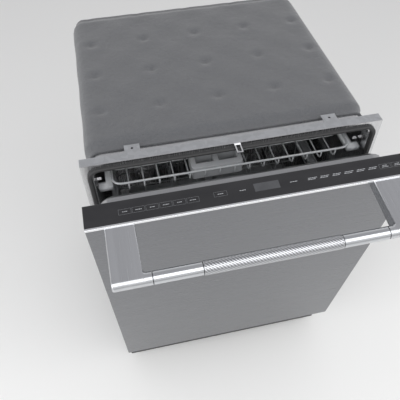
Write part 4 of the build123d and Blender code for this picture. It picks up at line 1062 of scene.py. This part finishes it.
spring_shapes = []
for side in (-1, 1):
    centre = side * (spring_x[1] - spring_radius)
    spring_shapes.append(coil(centre))
    for ends in ((spring_y[0], coil_start), (coil_end, spring_y[1])):
        spring_shapes.append(tube([(centre, y, spring_z) for y in ends], (0, 0, 1), tail_radius))
springs = make_piece("coil_springs", *joined(spring_shapes), zinc_sheet, "cabinet")
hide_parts("balance_springs")

# %% [markdown]
# The heater is one bent tube. Its loop lies flat above the floor and its two ends turn down through it, so
# it is drawn as a flat loop with rounded corners and two short elbows that meet it.

# %% Heating element
heater_radius = 0.004
heater_gap = 0.022
heater_bend = 0.030
elbow_run = 0.02
elbow_bend = 0.010
heater_sides = 14
clip_half = 0.004
clip_top = 0.9
heater_x, heater_y, (heater_foot, heater_top) = spans("heating_element")
heater_z = heater_top - heater_radius
front_y, back_y = heater_y[0] + heater_radius, heater_y[1] - heater_radius
side_x = heater_x[1] - heater_radius
elbow_end = heater_gap + elbow_run
loop = [(elbow_end, front_y), (side_x, front_y), (side_x, back_y), (-side_x, back_y), (-side_x, front_y),
        (-elbow_end, front_y)]
loop_path = rounded([(x, y, heater_z) for x, y in loop], heater_bend, 9)
heater_shapes = [tube(loop_path, (0, 0, 1), heater_radius, heater_sides)]
for side in (-1, 1):
    elbow = [(side * heater_gap, front_y, heater_foot), (side * heater_gap, front_y, heater_z),
             (side * elbow_end, front_y, heater_z)]
    heater_shapes.append(tube(rounded(elbow, elbow_bend, bend_steps), (0, 1, 0), heater_radius, heater_sides))
loop_middle = half_way(spans("lower_spray_arm")[1])
for x, y in ((side_x, loop_middle), (-side_x, loop_middle), (0.0, back_y)):
    heater_shapes.append(slab((x - clip_half, x + clip_half), (y - clip_half, y + clip_half),
                              (heater_foot, heater_z - heater_radius * clip_top)))
heater = make_piece("heater_loop", *joined(heater_shapes), heater_sheath, "cabinet")
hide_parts("heating_element")
sharpen(heater)

# %% [markdown]
# The blanket over the tub is thick felt, pressed thin along its edges and round the window for the water
# chamber, and drawn in by rows of ties, so it swells between them. It is two sheets of points: the inner
# one follows the tub, and the outer one stands off it by a thickness that depends on the place. Walls close
# them wherever the felt ends.

# %% Felt blanket
felt_step = 0.0075
felt_rows = 66
pressed_share = 0.35
press_start = 0.010
press_width = 0.016
tie_radius = 0.011
tie_depth = 0.55
swell_depth = 0.10
blanket_ties = 0.125


def smooth_step(value):
    """Eases from 0 to 1 as value goes from 0 to 1."""
    value = np.clip(value, 0, 1)
    return value * value * (3 - 2 * value)


def thick_sheet(outer, inner, keep):
    """Closed pad between two grids of points, with walls along every edge of the kept cells."""
    rows, columns = outer.shape[:2]
    count = rows * columns
    index = np.arange(count).reshape(rows, columns)
    cells = np.stack([index[:-1, :-1], index[1:, :-1], index[1:, 1:], index[:-1, 1:]], axis=-1)[keep]
    edges = np.concatenate([cells[:, [i, (i + 1) % 4]] for i in range(4)])
    once = ~np.isin(edges[:, 0] * count + edges[:, 1], edges[:, 1] * count + edges[:, 0])
    start, end = edges[once, 0], edges[once, 1]
    walls = np.stack([end, start, start + count, end + count], axis=-1)
    faces = np.concatenate([cells, cells[:, ::-1] + count, walls])
    used, numbered = np.unique(faces, return_inverse=True)
    points = np.concatenate([outer.reshape(-1, 3), inner.reshape(-1, 3)])[used]
    return points, facing_out(points, numbered.reshape(faces.shape).tolist())


def felt_thickness(edge_distance, along, across, full, tie_pitch):
    """Full between the ties, dimpled at each tie and pressed flat near an edge."""
    press = pressed_share + (1 - pressed_share) * smooth_step((edge_distance - press_start) / press_width)
    offset = [((value / tie_pitch + 0.5) % 1 - 0.5) * tie_pitch for value in (along, across)]
    dimple = np.exp(-(offset[0] ** 2 + offset[1] ** 2) / tie_radius ** 2)
    wave = np.cos(2 * np.pi * along / tie_pitch) * np.cos(2 * np.pi * across / tie_pitch)
    return full * press * (1 - swell_depth + swell_depth * wave) * (1 - tie_depth * dimple)


blanket_x, blanket_y, (blanket_foot, blanket_top) = spans("insulation_blanket")
felt_full = 0.0115
inner_half = blanket_x[1] - felt_full
inner_top = blanket_top - felt_full
inner_corner = 0.0212
rise = inner_top - inner_corner - blanket_foot
flat = 2 * (inner_half - inner_corner)
quarter = inner_corner * np.pi / 2
wrap_length = 2 * rise + 2 * quarter + flat


def wrapped(s):
    """Point and outward direction in (x, z) at length s along the inner face, from the left foot."""
    side = np.where(s > wrap_length / 2, 1.0, -1.0)
    near = np.minimum(s, wrap_length - s)
    turn = np.clip((near - rise) / inner_corner, 0, np.pi / 2)
    x = inner_half - inner_corner + inner_corner * np.cos(turn)
    z = blanket_foot + np.minimum(near, rise) + inner_corner * np.sin(turn)
    x = np.where(near > rise + quarter, (wrap_length - 2 * near) / 2, x)
    return np.stack([side * x, z], axis=-1), np.stack([side * np.cos(turn), np.sin(turn)], axis=-1)


window_gap = 0.003
_, tank_y, tank_z = spans("water_chamber")
window_y = (tank_y[0] - window_gap, tank_y[1] + window_gap)
window_s = (tank_z[0] - window_gap - blanket_foot, tank_z[1] + window_gap - blanket_foot)
s_lines = np.unique(np.concatenate([np.linspace(0, wrap_length, int(wrap_length / felt_step)), window_s]))
y_lines = np.unique(np.concatenate([np.linspace(*blanket_y, felt_rows), window_y]))
s_grid, y_grid = np.meshgrid(s_lines, y_lines, indexing="ij")
to_rim = np.minimum.reduce([s_grid, wrap_length - s_grid, y_grid - blanket_y[0], blanket_y[1] - y_grid])
outside = [np.maximum(np.maximum(span[0] - grid, grid - span[1]), 0)
           for span, grid in ((window_s, s_grid), (window_y, y_grid))]
edge_distance = np.minimum(to_rim, np.hypot(*outside))
thickness = felt_thickness(edge_distance, s_grid - wrap_length / 2, y_grid, felt_full, blanket_ties)
place_xz, outward_xz = wrapped(s_grid)
inner_sheet = np.stack([place_xz[..., 0], y_grid, place_xz[..., 1]], axis=-1)
direction = np.stack([outward_xz[..., 0], 0 * y_grid, outward_xz[..., 1]], axis=-1)
outer_sheet = inner_sheet + direction * thickness[..., None]
in_window = [((lines[:-1] + lines[1:]) / 2 > span[0]) & ((lines[:-1] + lines[1:]) / 2 < span[1])
             for lines, span in ((s_lines, window_s), (y_lines, window_y))]
keep = ~(in_window[0][:, None] & in_window[1][None, :])
blanket = make_piece("felt_blanket", *thick_sheet(outer_sheet, inner_sheet, keep), blanket_felt, "cabinet")
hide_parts("insulation_blanket")
sharpen(blanket, 60.0)

# %% [markdown]
# The pad inside the door is the same felt, glued flat to the back of the outer skin.

# %% Sound pad
pad_half = spans("sound_pad")[0][1]
pad_down = (0.036, 0.703)
pad_out = (-0.0012, -0.0130)
pad_ties = 0.14
pad_columns = 72
pad_rows = 86
x_lines = np.linspace(-pad_half, pad_half, pad_columns)
down_lines = np.linspace(*pad_down, pad_rows)
x_grid, down_grid = np.meshgrid(x_lines, down_lines, indexing="ij")
pad_edge = np.minimum.reduce([pad_half - np.abs(x_grid), down_grid - pad_down[0], pad_down[1] - down_grid])
pad_thickness = felt_thickness(pad_edge, x_grid, down_grid, pad_out[0] - pad_out[1], pad_ties)
glued = on_door(np.stack([x_grid, 0 * x_grid + pad_out[0], down_grid], axis=-1))
free = on_door(np.stack([x_grid, pad_out[0] - pad_thickness, down_grid], axis=-1))
whole = np.ones((pad_columns - 1, pad_rows - 1), bool)
pad = make_piece("felt_pad", *thick_sheet(free, glued, whole), blanket_felt, "door")
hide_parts("sound_pad")
sharpen(pad, 60.0)

# %% [markdown]
# Small screws hold the liner's flange to the door's sides, clear of the gasket. A screw head is a shallow
# dome with a six-lobed recess: the dome is a lathe turning, and points inside a radius that swings six
# times round it are pressed in.

# %% Screws
screw_radius = 0.0033
screw_height = 0.0016
screw_x = 0.2966
screw_downs = (0.075, 0.245, 0.415, 0.585)
screw_sides = 36
flange_out = -0.050
lobe_count = 6
recess_share = 0.46
lobe_share = 0.07
recess_depth = 0.6


def screw_head():
    """Dome of rings on a flat base, its middle pressed in where the ring lies inside the recess."""
    share = np.array([1.0, 1.0, 0.92, 0.75, 0.58, 0.50, 0.44, 0.34, 0.20, 0.05])
    height = np.array([0.0, 0.35, 0.62, 0.85, 0.96, 0.98, 0.99, 1.0, 1.0, 1.0])
    profile = np.stack([share * screw_radius, height * screw_height], axis=1)[::-1]
    points, faces = lathe(profile, screw_sides)
    angle = np.arctan2(points[:, 1], points[:, 0])
    recess = screw_radius * (recess_share + lobe_share * np.cos(lobe_count * angle))
    pressed = (np.hypot(points[:, 0], points[:, 1]) < recess) & (points[:, 2] > screw_height / 2)
    points[pressed, 2] -= recess_depth * screw_height
    return points, faces


def on_liner(x, down):
    """Centre and axes of a screw on the liner's flange, facing the tub."""
    centre = on_door(np.array([x, flange_out, down]))
    normal = on_door(np.array([x, flange_out - 1, down])) - centre
    across = np.array([1.0, 0.0, 0.0])
    return centre, (across, np.cross(normal, across), normal)


liner_screws = [placed(screw_head(), *on_liner(side * screw_x, down))
                for side in (-1, 1) for down in screw_downs]
door_screws = make_piece("liner_screws", *joined(liner_screws), zinc_sheet, "door")
sharpen(door_screws)

# %% Update the scene
bpy.context.view_layer.update()
